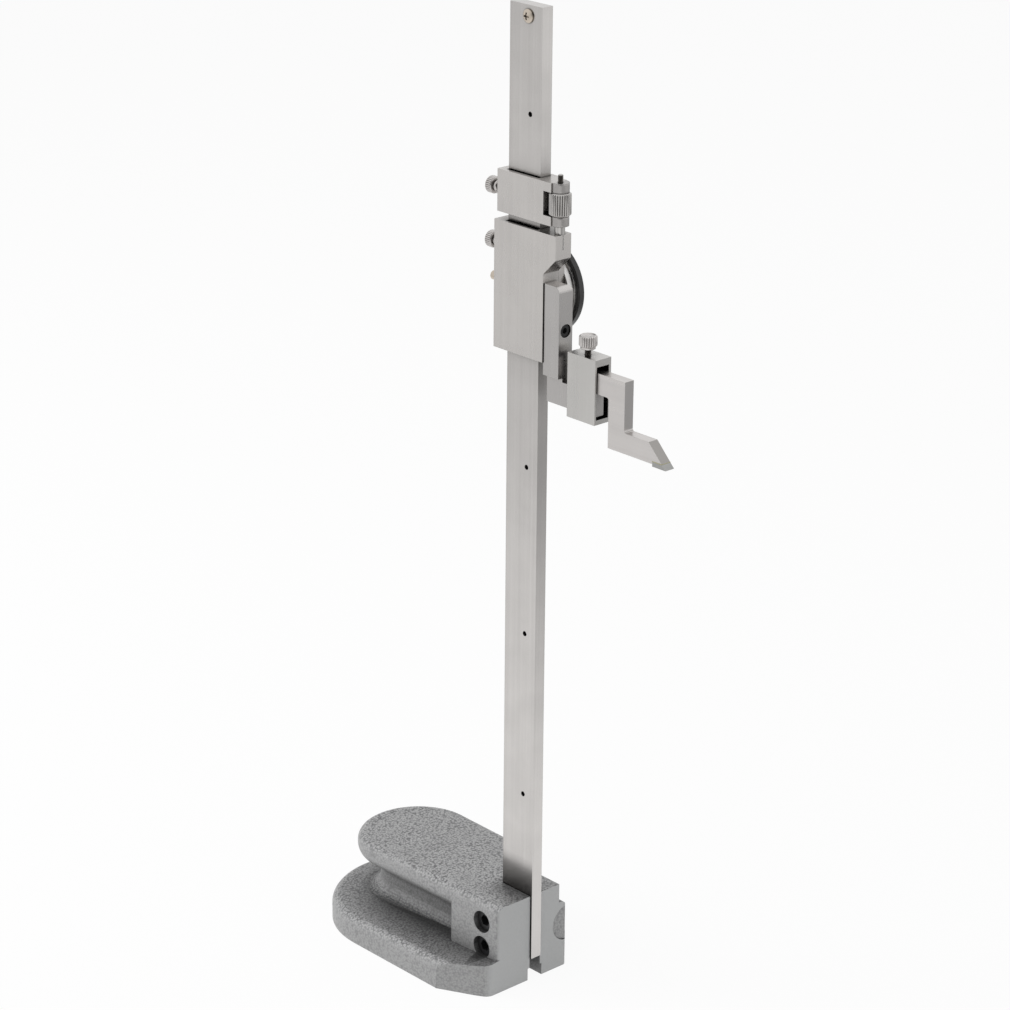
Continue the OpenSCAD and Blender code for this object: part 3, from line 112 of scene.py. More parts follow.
# %% Helpers for nodes
def add(tree, kind, x=0, y=0, settings=None, **values):
    """Makes a node, sets its properties, and fills or wires the sockets named in values."""
    made = tree.nodes.new("ShaderNode" + kind)
    made.location = (x, y)
    for name, value in (settings or {}).items():
        setattr(made, name, value)
    for name, value in values.items():
        key = int(name[1:]) if name[0] == "i" and name[1:].isdigit() else name.replace("_", " ")
        socket = made.inputs[key]
        if isinstance(value, bpy.types.NodeSocket):
            tree.links.new(value, socket)
        else:
            socket.default_value = value
    return made


def mix_colour(tree, share, first, second, x=0, y=0, blend="MIX"):
    """Blends two colours by a share from 0 to 1."""
    made = add(tree, "Mix", x, y, {"data_type": "RGBA", "blend_type": blend, "clamp_factor": True})
    for index, value in ((0, share), (6, first), (7, second)):
        if isinstance(value, bpy.types.NodeSocket):
            tree.links.new(value, made.inputs[index])
        else:
            made.inputs[index].default_value = value if index == 0 else (*value, 1)
    return made.outputs[2]


def maths(tree, operation, first, second=0.0, x=0, y=0, clamp=False):
    """One Math node."""
    made = add(tree, "Math", x, y, {"operation": operation, "use_clamp": clamp}, i0=first, i1=second)
    return made.outputs[0]


def spread(tree, value, low, high, to_low, to_high, x=0, y=0):
    """Maps a range of values to another range, and holds it there."""
    return add(tree, "MapRange", x, y, {"clamp": True}, Value=value, From_Min=low, From_Max=high,
               To_Min=to_low, To_Max=to_high).outputs[0]


def new_group(name, inputs, outputs):
    """A shader group with its named sockets: each input is a name, a type and a first value."""
    tree = bpy.data.node_groups.new(name, "ShaderNodeTree")
    for label, kind, value in inputs:
        socket = tree.interface.new_socket(label, in_out="INPUT", socket_type=kind)
        socket.default_value = value
    for label, kind in outputs:
        tree.interface.new_socket(label, in_out="OUTPUT", socket_type=kind)
    return tree, tree.nodes.new("NodeGroupInput"), tree.nodes.new("NodeGroupOutput")


def place_group(tree, group, x=0, y=0, **values):
    """Places a group in a tree and sets or wires its inputs."""
    made = tree.nodes.new("ShaderNodeGroup")
    made.node_tree = group
    made.location = (x, y)
    for name, value in values.items():
        socket = made.inputs[name.replace("_", " ")]
        if isinstance(value, bpy.types.NodeSocket):
            tree.links.new(value, socket)
        else:
            socket.default_value = value
    return made


def new_material(name):
    """An empty node material with its output and one Principled shader, wired together."""
    made = bpy.data.materials.new(name)
    made.use_nodes = True
    tree = made.node_tree
    tree.nodes.clear()
    output = add(tree, "OutputMaterial", 900, 0)
    shader = add(tree, "BsdfPrincipled", 600, 0)
    tree.links.new(shader.outputs[0], output.inputs[0])
    return made, tree, shader


def wear(node, made):
    """Gives a CAD node or a piece its one material."""
    target = nodes[node] if isinstance(node, str) else node
    target.data.materials.clear()
    target.data.materials.append(made)


print("node helpers are ready")

# %% [markdown]
# ## Marks that several finishes share
#
# Surface grinding leaves fine parallel scratches, and the eye reads steel by them. They are
# noise stretched along one axis: thin across the grain, long with it. A second, soft noise
# gives the cloudy tone that handling and oil leave. Both are one group, so that every
# ground piece shows the same hand.

# %% Group: grinding grain
grain_group, grain_in, grain_out = new_group(
    "grinding_grain",
    [("Across", "NodeSocketVector", (1400, 1400, 22)), ("Cloud Scale", "NodeSocketFloat", 60)],
    [("Grain", "NodeSocketFloat"), ("Cloud", "NodeSocketFloat")])
place = add(grain_group, "TexCoord", -900, 0).outputs["Object"]
stretched = add(grain_group, "VectorMath", -700, 0, {"operation": "MULTIPLY"}, i0=place,
                i1=grain_in.outputs["Across"]).outputs[0]
fine = add(grain_group, "TexNoise", -500, 100, Vector=stretched, Scale=1.0, Detail=4.0, Roughness=0.6)
coarse = add(grain_group, "TexNoise", -500, -150, Vector=stretched, Scale=0.31, Detail=2.0, Roughness=0.5)
cloud = add(grain_group, "TexNoise", -500, -400, Vector=place, Scale=grain_in.outputs["Cloud Scale"],
            Detail=3.0)
both = maths(grain_group, "ADD", fine.outputs[0], coarse.outputs[0], -300, 0)
grain_group.links.new(maths(grain_group, "MULTIPLY", both, 0.5, -150, 0), grain_out.inputs["Grain"])
grain_group.links.new(cloud.outputs[0], grain_out.inputs["Cloud"])
print("group", grain_group.name)

# %% [markdown]
# No ground edge is perfectly sharp: a stone is run along it, and handling rounds it further.
# Cutting a real bevel into every solid would change its mesh. The Bevel shader node instead
# looks a fifth of a millimetre around each point and leans the normal there, and where it
# leans, the edge is also painted paler: partly wear, partly a painted highlight. An inner
# corner isn't broken; it gets painted shade instead. A short Ambient Occlusion tells the two
# apart: in a corner the normal stays, and the mask Outer, which is 1 everywhere else, falls to 0.

# %% Group: broken edges
EDGE_R, CORNER_REACH = 0.2 * MM, 0.8 * MM

edge_group, edge_in, edge_out = new_group(
    "broken_edges",
    [("Radius", "NodeSocketFloat", EDGE_R)],
    [("Normal", "NodeSocketVector"), ("Edge", "NodeSocketFloat"), ("Outer", "NodeSocketFloat")])
rounded = add(edge_group, "Bevel", -600, 0, {"samples": 6}, Radius=edge_in.outputs["Radius"])
flat = add(edge_group, "NewGeometry", -600, -200).outputs["Normal"]
lean = add(edge_group, "VectorMath", -400, -100, {"operation": "DOT_PRODUCT"}, i0=rounded.outputs[0], i1=flat)
near_by = add(edge_group, "AmbientOcclusion", -600, 300, {"samples": 4}, Distance=CORNER_REACH)
outer = spread(edge_group, near_by.outputs["AO"], 0.65, 0.9, 0.0, 1.0, -400, 300)
softened = add(edge_group, "Mix", -200, 200, {"data_type": "VECTOR"}, i0=outer, i4=flat,
               i5=rounded.outputs[0])
edge_group.links.new(softened.outputs[1], edge_out.inputs["Normal"])
worn_glint_edge = spread(edge_group, lean.outputs["Value"], 0.8, 0.99, 1.0, 0.0, -200, -100)
edge_group.links.new(maths(edge_group, "MULTIPLY", worn_glint_edge, outer, -50, -100), edge_out.inputs["Edge"])
edge_group.links.new(outer, edge_out.inputs["Outer"])
print("group", edge_group.name)

# %% [markdown]
# Light reaches narrow places less: the slot round the beam, under a knurled head, a screw's
# socket. The Ambient Occlusion node measures how closed in a point is, and this group turns
# that into a mask that is 1 in the open and falls in those places, where materials paint shade.

# %% Group: crevices
crevice_group, crevice_in, crevice_out = new_group(
    "crevices",
    [("Reach", "NodeSocketFloat", 6 * MM), ("Least", "NodeSocketFloat", 0.15),
     ("Full", "NodeSocketFloat", 0.6)],
    [("Unshaded", "NodeSocketFloat")])
closed_in = add(crevice_group, "AmbientOcclusion", -600, 0, {"samples": 8},
                Distance=crevice_in.outputs["Reach"])
unshaded = spread(crevice_group, closed_in.outputs["AO"], 0.08, crevice_in.outputs["Full"],
               crevice_in.outputs["Least"], 1.0, -300, 0)
crevice_group.links.new(unshaded, crevice_out.inputs["Unshaded"])
print("group", crevice_group.name)

# %% [markdown]
# Hammered enamel dries into small domed cells with darker valleys between them. A Voronoi
# texture gives the cells, and a warp by noise keeps them from looking like tiles. The same
# cells drive colour, gloss and relief, as they do in the real paint.

# %% Group: hammered cells
WARP = 0.7 * MM

hammer_group, hammer_in, hammer_out = new_group(
    "hammered_cells",
    [("Scale", "NodeSocketFloat", 950)],
    [("Dome", "NodeSocketFloat"), ("Fleck", "NodeSocketFloat"), ("Cloud", "NodeSocketFloat")])
place = add(hammer_group, "TexCoord", -1100, 0).outputs["Object"]
warp = add(hammer_group, "TexNoise", -900, -200, Vector=place, Scale=700.0, Detail=2.0)
pushed = add(hammer_group, "VectorMath", -700, -200, {"operation": "MULTIPLY"}, i0=warp.outputs["Color"],
             i1=(WARP, WARP, WARP)).outputs[0]
moved = add(hammer_group, "VectorMath", -550, 0, {"operation": "ADD"}, i0=place, i1=pushed).outputs[0]
cells = add(hammer_group, "TexVoronoi", -400, 100, {"feature": "F1"}, Vector=moved,
            Scale=hammer_in.outputs["Scale"])
fleck = add(hammer_group, "TexNoise", -400, -150, Vector=moved, Scale=1500.0, Detail=3.0, Roughness=0.7)
cloud = add(hammer_group, "TexNoise", -400, -400, Vector=place, Scale=45.0, Detail=3.0)
hammer_group.links.new(spread(hammer_group, cells.outputs["Distance"], 0.2, 0.85, 1.0, 0.0, -200, 100),
                       hammer_out.inputs["Dome"])
hammer_group.links.new(fleck.outputs[0], hammer_out.inputs["Fleck"])
hammer_group.links.new(cloud.outputs[0], hammer_out.inputs["Cloud"])
print("group", hammer_group.name)

# %% [markdown]
# ## Ground steel
#
# The beam, the carriage, the jaw and the scriber are hardened steel, ground on every face.
# The colour is a warm light grey. The grain changes tone a little and roughness too, because
# a scratch shows mostly by where it throws the light. Across stretches the noise: an axis
# with a small number gets long scratches.

# %% Ground steel
GRAIN_DEPTH = 0.02 * MM
STEEL_SHADE, STEEL_WORN_GLINT = (0.03, 0.027, 0.024), (0.68, 0.67, 0.66)
UPRIGHT, LEVEL = (700, 700, 9), (9, 700, 700)


def ground_steel(name, tone, across, rough=0.3, contrast=0.05, reach=9 * MM, full=0.8):
    """Steel with grain along the axis that 'across' makes smallest, edges painted paler for wear and
    highlight, and painted shade in crevices and inner corners.
    """
    made, tree, shader = new_material(name)
    marks = place_group(tree, grain_group, -700, 0, Across=across, Cloud_Scale=60.0)
    edges = place_group(tree, edge_group, -700, -500)
    dark = tuple(c * (1 - contrast) for c in tone)
    light = tuple(min(1.0, c * (1 + contrast)) for c in tone)
    grain = spread(tree, marks.outputs["Grain"], 0.35, 0.65, 0.0, 1.0, -450, 100)
    cloud = spread(tree, marks.outputs["Cloud"], 0.35, 0.65, 0.0, 1.0, -450, -100)
    share = maths(tree, "ADD", maths(tree, "MULTIPLY", grain, 0.6, -300, 100),
                  maths(tree, "MULTIPLY", cloud, 0.4, -300, -100), -150, 0)
    body = mix_colour(tree, share, dark, light, 50, 200)
    # Edges painted paler: partly wear, partly a painted highlight.
    worn_and_glint = maths(tree, "MULTIPLY", edges.outputs["Edge"], 0.3, -150, -400)
    body = mix_colour(tree, worn_and_glint, body, STEEL_WORN_GLINT, 250, 200)
    # Painted shade in crevices and inner corners.
    unshaded = place_group(tree, crevice_group, -150, 400, Reach=reach, Least=0.1, Full=full)
    corner = spread(tree, edges.outputs["Outer"], 0.0, 1.0, 0.6, 1.0, -150, 550)
    unshaded = maths(tree, "MULTIPLY", unshaded.outputs["Unshaded"], corner, 100, 450)
    tree.links.new(mix_colour(tree, unshaded, STEEL_SHADE, body, 420, 300), shader.inputs["Base Color"])
    tree.links.new(spread(tree, share, 0.0, 1.0, rough + 0.03, rough - 0.03, 100, -50),
                   shader.inputs["Roughness"])
    relief = add(tree, "Bump", 300, -250, Strength=0.02, Distance=GRAIN_DEPTH,
                 Height=marks.outputs["Grain"], Normal=edges.outputs["Normal"])
    tree.links.new(relief.outputs[0], shader.inputs["Normal"])
    shader.inputs["Metallic"].default_value = 1.0
    return made


beam_steel = ground_steel("beam_steel", (0.59, 0.57, 0.555), UPRIGHT, rough=0.2, contrast=0.07,
                          reach=14 * MM, full=0.95)
carriage_steel = ground_steel("carriage_steel", (0.615, 0.592, 0.573), UPRIGHT, rough=0.27,
                              reach=12 * MM, full=0.92)
jaw_steel = ground_steel("jaw_steel", (0.5, 0.485, 0.475), UPRIGHT, rough=0.28)
box_steel = ground_steel("box_steel", (0.59, 0.578, 0.56), UPRIGHT, rough=0.26)
scriber_steel = ground_steel("scriber_steel", (0.65, 0.625, 0.61), LEVEL, rough=0.3)
block_steel = ground_steel("block_steel", (0.61, 0.588, 0.57), UPRIGHT, rough=0.27)
print("ground steels:", ", ".join(made.name for made in bpy.data.materials if made.name.endswith("_steel")))

# %% [markdown]
# The steel isn't one tone all over: its faces get painted light and shade by the way they
# turn. The scriber's slope and end are painted darker, so are the carriage's undersides, and
# the jaw's top is painted brighter. A face is told by its direction: the dot product of its
# true normal and a chosen way. The two lugs of the fine adjustment are turned and told by their
# place; painted shade darkens them, and a wider Bevel there rounds their rims. A painted
# reflection of the shaded base darkens the beam's back just above it.

# %% Places where the steel differs
LUGS_START_X, LUG_EDGE_R = -92.9 * MM, 1.2 * MM
BASE_MIRROR_FULL_Z, BASE_MIRROR_END_Z = 44 * MM, 62 * MM
SLOPE_WAY = (-0.7071, 0, 0.7071)


def facing(made, way, least):
    """A mask in a material's own tree: 1 where a face's normal is within a cosine of a direction."""
    tree = made.node_tree
    lean = add(tree, "VectorMath", -700, 700, {"operation": "DOT_PRODUCT"},
               i0=add(tree, "NewGeometry", -900, 700).outputs["True Normal"], i1=way)
    return maths(tree, "GREATER_THAN", lean.outputs["Value"], least, -500, 700)


def retone(made, mask, tone):
    """Gives a steel another tone where a mask in its own tree is 1."""
    tree, shader = made.node_tree, made.node_tree.nodes["Principled BSDF"]
    skin = shader.inputs["Base Color"]
    tree.links.new(mix_colour(tree, mask, skin.links[0].from_socket, tone, 560, 400), skin)


def place_in(tree):
    """The point's place on the object, split into x, y and z."""
    return add(tree, "SeparateXYZ", -900, 700, Vector=add(tree, "TexCoord", -1100, 700).outputs["Object"])


# Painted shade and light by face direction: the scriber's slope and end darker, the carriage's undersides
# darker, the jaw's top lighter.
retone(scriber_steel, facing(scriber_steel, SLOPE_WAY, 0.99), (0.38, 0.365, 0.35))
retone(scriber_steel, facing(scriber_steel, (-1, 0, 0), 0.99), (0.5, 0.485, 0.475))
retone(carriage_steel, facing(carriage_steel, (0, 0, -1), 0.3), (0.46, 0.44, 0.425))
retone(jaw_steel, facing(jaw_steel, (0, 0, 1), 0.3), (0.62, 0.6, 0.585))
# Painted shade: the turned lugs are darker, for the deeper reflection of their round faces.
lugs = block_steel.node_tree
on_lugs = maths(lugs, "LESS_THAN", place_in(lugs).outputs[0], LUGS_START_X, -500, 700)
retone(block_steel, on_lugs, (0.42, 0.405, 0.395))
lug_edges = next(node for node in lugs.nodes if node.type == "GROUP" and node.node_tree == edge_group)
lugs.links.new(spread(lugs, on_lugs, 0.0, 1.0, EDGE_R, LUG_EDGE_R, -900, -700), lug_edges.inputs["Radius"])
# Painted reflection: the beam's back just above the base is darkened, mirroring the shaded base top below it.
foot = beam_steel.node_tree
above_base = spread(foot, place_in(foot).outputs[2], BASE_MIRROR_FULL_Z, BASE_MIRROR_END_Z, 0.75, 0.0, -700, 700)
base_mirrored = maths(foot, "MULTIPLY", above_base, facing(beam_steel, (0, 1, 0), 0.99), -500, 800)
retone(beam_steel, base_mirrored, (0.09, 0.085, 0.08))
for node in ("beam", "rack"):
    wear(node, beam_steel)
for node in ("carriage_body", "carriage_front_plate", "fine_adjust_cover"):
    wear(node, carriage_steel)
wear("fine_adjust_block", block_steel)
wear("jaw", jaw_steel)
wear("scriber_clamp_box", box_steel)
wear("scriber", scriber_steel)
finished = [made.name for solid in nodes.values() for made in solid.data.materials]
print("ground steel on", sum(name.endswith("steel") for name in finished), "nodes")

# %% [markdown]
# ## Turned and plated small parts
#
# Knurled heads, the stud and the dial's case are turned and plated bright. At their size the
# eye sees no direction in the tool marks, so the same grain group gets one number on all
# three axes, finer than on the beam. Threads are tarnished: their meshes carry an attribute
# that says where.

# %% Bright, brass, black and carbide parts
TOOL_MARKS = (900.0, 900.0, 900.0)
SMALL_PART_SHADE, TARNISH = (0.02, 0.018, 0.016), (0.13, 0.12, 0.11)


def small_part(name, tone, rough, metal=1.0, contrast=0.06, bump=0.05, reach=0.9 * MM):
    """A small part with fine tool marks, painted shade in its grooves, and tarnish where its mesh says so."""
    made, tree, shader = new_material(name)
    marks = place_group(tree, grain_group, -700, 0, Across=TOOL_MARKS, Cloud_Scale=240.0)
    dark = tuple(c * (1 - contrast) for c in tone)
    light = tuple(min(1.0, c * (1 + contrast)) for c in tone)
    share = spread(tree, marks.outputs["Cloud"], 0.3, 0.7, 0.0, 1.0, -400, 0)
    # Painted shade in grooves, knurl valleys and under heads.
    unshaded = place_group(tree, crevice_group, -400, 300, Reach=reach, Least=0.04, Full=0.9)
    tarnish = add(tree, "Attribute", -400, 500, {"attribute_name": "tarnish"}).outputs["Fac"]
    skin = mix_colour(tree, share, dark, light, -50, 200)
    skin = mix_colour(tree, tarnish, skin, TARNISH, 100, 250)
    tree.links.new(mix_colour(tree, unshaded.outputs["Unshaded"], SMALL_PART_SHADE, skin, 300, 250),
                   shader.inputs["Base Color"])
    tree.links.new(spread(tree, marks.outputs["Grain"], 0.3, 0.7, rough * 0.75, rough * 1.25, 100, -50),
                   shader.inputs["Roughness"])
    relief = add(tree, "Bump", 300, -250, Strength=bump, Distance=GRAIN_DEPTH,
                 Height=marks.outputs["Grain"])
    tree.links.new(relief.outputs[0], shader.inputs["Normal"])
    shader.inputs["Metallic"].default_value = metal
    return made


bright_steel = small_part("bright_steel", (0.66, 0.65, 0.64), 0.22)
knurled_steel = small_part("knurled_steel", (0.62, 0.595, 0.58), 0.3)
nut_steel = small_part("nut_steel", (0.5, 0.485, 0.47), 0.26)
threaded_steel = small_part("threaded_steel", (0.55, 0.535, 0.52), 0.14, reach=1.4 * MM)
brass = small_part("turned_brass", (0.72, 0.48, 0.2), 0.26)
pale_brass = small_part("pale_brass", (0.6, 0.53, 0.45), 0.36)
braze_metal = small_part("braze_metal", (0.46, 0.44, 0.27), 0.4)
black_oxide = small_part("black_oxide", (0.018, 0.018, 0.019), 0.42, metal=0.3)
carbide = small_part("ground_carbide", (0.4, 0.4, 0.39), 0.35)
bezel_black = small_part("bezel_black", (0.034, 0.033, 0.033), 0.36, metal=0.0)
dial_white = small_part("dial_white", (0.86, 0.86, 0.83), 0.45, metal=0.0, contrast=0.02, bump=0.02)
pointer_black = small_part("pointer_black", (0.02, 0.02, 0.02), 0.35, metal=0.0)
finishes = {
    bright_steel: ["gib_spring", "carriage_lock_screw", "jaw_dowels", "scriber_clamp_screw",
                   "fine_adjust_lock_screw", "fine_adjust_nut", "fine_adjust_stud", "dial_case",
                   "case_screws", "bezel_spring", "rack_pinion", "pointer_pinion", "hairspring",
                   "bridge_screws"],
    brass: ["gib_strip", "carriage_lock_pad", "drag_pad", "fine_adjust_pad", "drive_gear",
            "take_up_gear", "pinion_bush", "movement_bridge", "movement_pillars"],
    pale_brass: ["drag_screw", "stop_screw"],
    black_oxide: ["beam_clamp_screws", "front_plate_screws", "jaw_screw", "fine_adjust_cover_screws",
                  "rack_pins"],
    carbide: ["carbide_tip"],
    bezel_black: ["bezel"],
    dial_white: ["dial_face"],
    pointer_black: ["pointer"],
}
for finish, names in finishes.items():
    for node in names:
        wear(node, finish)
print("small parts finished:", sum(len(names) for names in finishes.values()))

# %% [markdown]
# ## The crystal
#
# The dial's window is a flat glass disc. Plain transmission with a real index of refraction
# is enough, and a faint haze in its roughness keeps it from looking empty. A path tracer
# treats glass as solid to the light of lamps, so the dial under it would go grey. Alpha
# therefore falls for shadow rays alone, and the dial gets the light that real glass lets by.

# %% Crystal
crystal_glass, tree, shader = new_material("crystal_glass")
haze = add(tree, "TexNoise", -300, 0, Vector=add(tree, "TexCoord", -500, 0).outputs["Object"], Scale=90.0)
tree.links.new(spread(tree, haze.outputs[0], 0.3, 0.7, 0.0, 0.04, 0, 0), shader.inputs["Roughness"])
shader.inputs["Base Color"].default_value = (0.96, 0.98, 0.98, 1)
shader.inputs["Transmission Weight"].default_value = 1.0
shader.inputs["IOR"].default_value = 1.45
shadow_ray = add(tree, "LightPath", -500, -300).outputs["Is Shadow Ray"]
light_by = maths(tree, "MULTIPLY", shadow_ray, 0.9, -200, -300)
tree.links.new(maths(tree, "SUBTRACT", 1.0, light_by, 0, -300), shader.inputs["Alpha"])
wear("crystal", crystal_glass)
print("crystal is glass")

# %% [markdown]
# ## The cast base
#
# The base is grey iron under silver hammered enamel. Its end face was cut flat after
# painting, so it is smooth and paler. Both finishes are one material: a mask from the
# face's direction and place tells which is which, with no seam to line up. As painted light,
# the cells keep full contrast on the top, which shines, and fade on the sides. A painted
# reflection of the beam darkens the top by it, and painted shade darkens the finger groove.

# %% Hammered enamel and the cut end face
VALLEY, DOME_TOP, HAZE = (0.12, 0.12, 0.125), (0.46, 0.46, 0.46), (0.32, 0.32, 0.32)
SIDES, CUT_IRON = (0.34, 0.34, 0.34), (0.45, 0.455, 0.455)
PAINT_BEAM_REFLECTION, PAINT_GROOVE_SHADE = (0.04, 0.04, 0.04), (0.03, 0.03, 0.03)
BEAM_REFLECTION_Y, BEAM_REFLECTION_X, NEAR_SIDE_Y = (7 * MM, 22 * MM), (-66 * MM, -56 * MM), 3 * MM
END_PAD_X = -81.8 * MM
CELL_DEPTH, GROOVE_REACH = 0.15 * MM, 30 * MM

hammered, tree, shader = new_material("hammered_enamel")
marks = place_group(tree, hammer_group, -1100, 0, Scale=950.0)
dome, fleck, cloud = (marks.outputs[k] for k in ("Dome", "Fleck", "Cloud"))
speck = maths(tree, "ADD", maths(tree, "MULTIPLY", dome, 0.6, -850, 150),
              maths(tree, "MULTIPLY", fleck, 0.4, -850, 0), -700, 100)
place = add(tree, "SeparateXYZ", -900, -400, Vector=add(tree, "TexCoord", -1100, -400).outputs["Object"])
true_way = add(tree, "NewGeometry", -1100, -550).outputs["True Normal"]
outward = add(tree, "SeparateXYZ", -900, -550, Vector=true_way)
upward = spread(tree, outward.outputs[2], 0.4, 0.9, 0.0, 1.0, -700, -700)
paint = mix_colour(tree, spread(tree, speck, 0.2, 0.75, 0.0, 1.0, -550, 100), VALLEY, DOME_TOP, -350, 200)
hazy = spread(tree, cloud, 0.35, 0.65, 0.0, 0.3, -550, -100)
paint = mix_colour(tree, hazy, paint, HAZE, -150, 200)
# Painted light: the cells keep their full contrast only where a face looks up and shines; sides get an even
# tone.
calm = spread(tree, upward, 0.0, 1.0, 0.65, 0.0, -200, -700)
paint = mix_colour(tree, calm, paint, SIDES, 0, 200)
# Painted reflection of the beam, dark on the top by its foot.
near_beam = maths(tree, "MULTIPLY", spread(tree, place.outputs[1], *BEAM_REFLECTION_Y, 1.0, 0.0, -700, -900),
                  spread(tree, place.outputs[0], *BEAM_REFLECTION_X, 1.0, 0.0, -700, -1000), -500, -900)
this_side = maths(tree, "GREATER_THAN", place.outputs[1], NEAR_SIDE_Y, -500, -1000)
near_beam = maths(tree, "MULTIPLY", near_beam, this_side, -400, -900)
beam_reflection = maths(tree, "MULTIPLY", near_beam, maths(tree, "MULTIPLY", upward, 0.75, -500, -750), -300, -850)
paint = mix_colour(tree, beam_reflection, paint, PAINT_BEAM_REFLECTION, 80, 200)
faces_out = spread(tree, outward.outputs[0], -0.99, -0.6, 1.0, 0.0, -700, -550)
recess = maths(tree, "MULTIPLY", maths(tree, "LESS_THAN", outward.outputs[0], -0.995, -700, -450),
               maths(tree, "GREATER_THAN", place.outputs[0], END_PAD_X, -700, -400), -550, -400)
cut_face = maths(tree, "MULTIPLY", faces_out, maths(tree, "SUBTRACT", 1.0, recess, -400, -450), -250, -450)
finish = mix_colour(tree, cut_face, paint, CUT_IRON, 150, 200)
# Painted shade: closed-in places, the finger groove most, are darkened.
closed_in = add(tree, "AmbientOcclusion", -200, 450, {"samples": 8, "only_local": True},
                Distance=GROOVE_REACH)
unshaded = spread(tree, closed_in.outputs["AO"], spread(tree, upward, 0.0, 1.0, 0.1, 0.5, -200, 600),
               spread(tree, upward, 0.0, 1.0, 0.9, 1.0, -200, 700), 0.1, 1.0, 0, 450)
tree.links.new(mix_colour(tree, unshaded, PAINT_GROOVE_SHADE, finish, 350, 300), shader.inputs["Base Color"])
gloss = spread(tree, speck, 0.25, 0.75, 0.55, 0.42, -150, -150)
tree.links.new(gloss, shader.inputs["Roughness"])
height = maths(tree, "MULTIPLY", speck, maths(tree, "SUBTRACT", 1.0, cut_face, -400, -400), -100, -350)
relief = add(tree, "Bump", 300, -300, Strength=0.4, Distance=CELL_DEPTH, Height=height)
tree.links.new(relief.outputs[0], shader.inputs["Normal"])
shader.inputs["Metallic"].default_value = 0.4
wear("base_casting", hammered)
print("base painted")

# %% [markdown]
# ## Turned pieces with knurls and threads
#
# A lathe makes these pieces, so each is one profile carried round an axis. The solids have
# plain shanks and coarse ridges. Here the profile's radius also depends on the angle: a
# straight knurl leaves ridges along the axis, and a thread is a notch that climbs one pitch
# in a turn.

# %% Helpers for turned surfaces
SHARP = math.radians(38)
SAME_PLACE = 1e-7


def closed_surface(name, points, wrap_rows=False, tarnish=None):
    """A closed mesh over a grid of points (rows, columns, 3).

    Each cell of the grid is one quad, and the last column joins the first. Rows of radius 0
    shrink to a pole when equal points are merged, and normals are turned outwards at the end.
    The attribute 'tarnish' holds one value from 0 to 1 for each row.
    """
    rows, columns = points.shape[:2]
    row = np.arange(rows if wrap_rows else rows - 1)[:, None]
    column = np.arange(columns)[None, :]
    above, beside = (row + 1) % rows, (column + 1) % columns
    corners = (row * columns + column, row * columns + beside,
               above * columns + beside, above * columns + column)
    quads = np.stack(np.broadcast_arrays(*corners), axis=-1).reshape(-1, 4)
    mesh = bpy.data.meshes.new(name)
    mesh.from_pydata(points.reshape(-1, 3).tolist(), [], quads.tolist())
    if tarnish is not None:
        values = mesh.attributes.new("tarnish", "FLOAT", "POINT").data
        values.foreach_set("value", np.repeat(tarnish, columns))
    tidy = bmesh.new()
    tidy.from_mesh(mesh)
    bmesh.ops.remove_doubles(tidy, verts=tidy.verts, dist=SAME_PLACE)
    bmesh.ops.recalc_face_normals(tidy, faces=tidy.faces)
    tidy.to_mesh(mesh)
    tidy.free()
    mesh.shade_smooth()
    mesh.set_sharp_from_angle(angle=SHARP)
    made = bpy.data.objects.new(name, mesh)
    bpy.context.scene.collection.objects.link(made)
    return made


def notch(height, angle, pitch):
    """Depth share of a thread: a triangle wave of height / pitch - angle / turn, from 0 to 1."""
    phase = (height / pitch - angle / (2 * math.pi)) % 1.0
    return 1 - 2 * np.abs(phase - 0.5)


def turned(name, profile, origin, axis, ridges=0, ridge_depth=0.0, pitch=0.0, notch_depth=0.0,
           wrap_rows=False):
    """A turned surface: profile rows are height, radius, knurled (0 or 1) and threaded (0 or 1).

    The radius at an angle is the smaller of the profile's radius and the knurl's, which is the
    widest radius less the ridge depth times 1 - |cos(ridges x angle / 2)|, less the thread's notch.
    """
    height, radius, knurled, threaded = (np.array(profile, float)[:, i][:, None] for i in range(4))
    columns = max(64, 10 * ridges)
    angle = np.linspace(0, 2 * math.pi, columns, endpoint=False)[None, :]
    knurl = radius.max() - ridge_depth * (1 - np.abs(np.cos(ridges * angle / 2)))
    reach = np.where(knurled > 0, np.minimum(radius, knurl), radius + 0 * angle)
    if pitch:
        reach = reach - threaded * notch_depth * notch(height, angle, pitch)
    first = {"x": (0, 1, 0), "z": (1, 0, 0)}[axis]
    second = {"x": (0, 0, 1), "z": (0, 1, 0)}[axis]
    along = {"x": (1, 0, 0), "z": (0, 0, 1)}[axis]
    points = (np.array(origin) + height[..., None] * np.array(along)
              + (reach * np.cos(angle))[..., None] * np.array(first)
              + (reach * np.sin(angle))[..., None] * np.array(second))
    return closed_surface(name, points, wrap_rows, threaded[:, 0])


def rows(start, end, count, knurled=0, threaded=0):
    """Profile rows in a straight line from (height, radius) to (height, radius), in millimetres."""
    line = np.linspace(start, end, count) * MM
    return [(h, r, knurled, threaded) for h, r in line]


def dress(piece, body, slot, finish, *replaced):
    """Rides a piece on its body, gives it its finish and hides what it replaces; its slot is not used."""
    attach(piece, body)
    wear(piece, finish)
    if replaced:
        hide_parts(*replaced)
    return piece


def centre_of(node):
    """Middle of a node's box, in metres."""
    low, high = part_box(node)
    return [(a + b) / 2 for a, b in zip(low, high)]


print("turned surfaces are ready")

# %% [markdown]
# The two lock screws are alike: a knurled head with a chamfer on each rim and a shallow dish
# in its end, a narrow groove, a boss and an M3 shank. The crevice mask paints shade into the
# valleys between the ridges. Each screw is measured from its solid, so it lies where that
# lies. Heights and radii here are in millimetres.

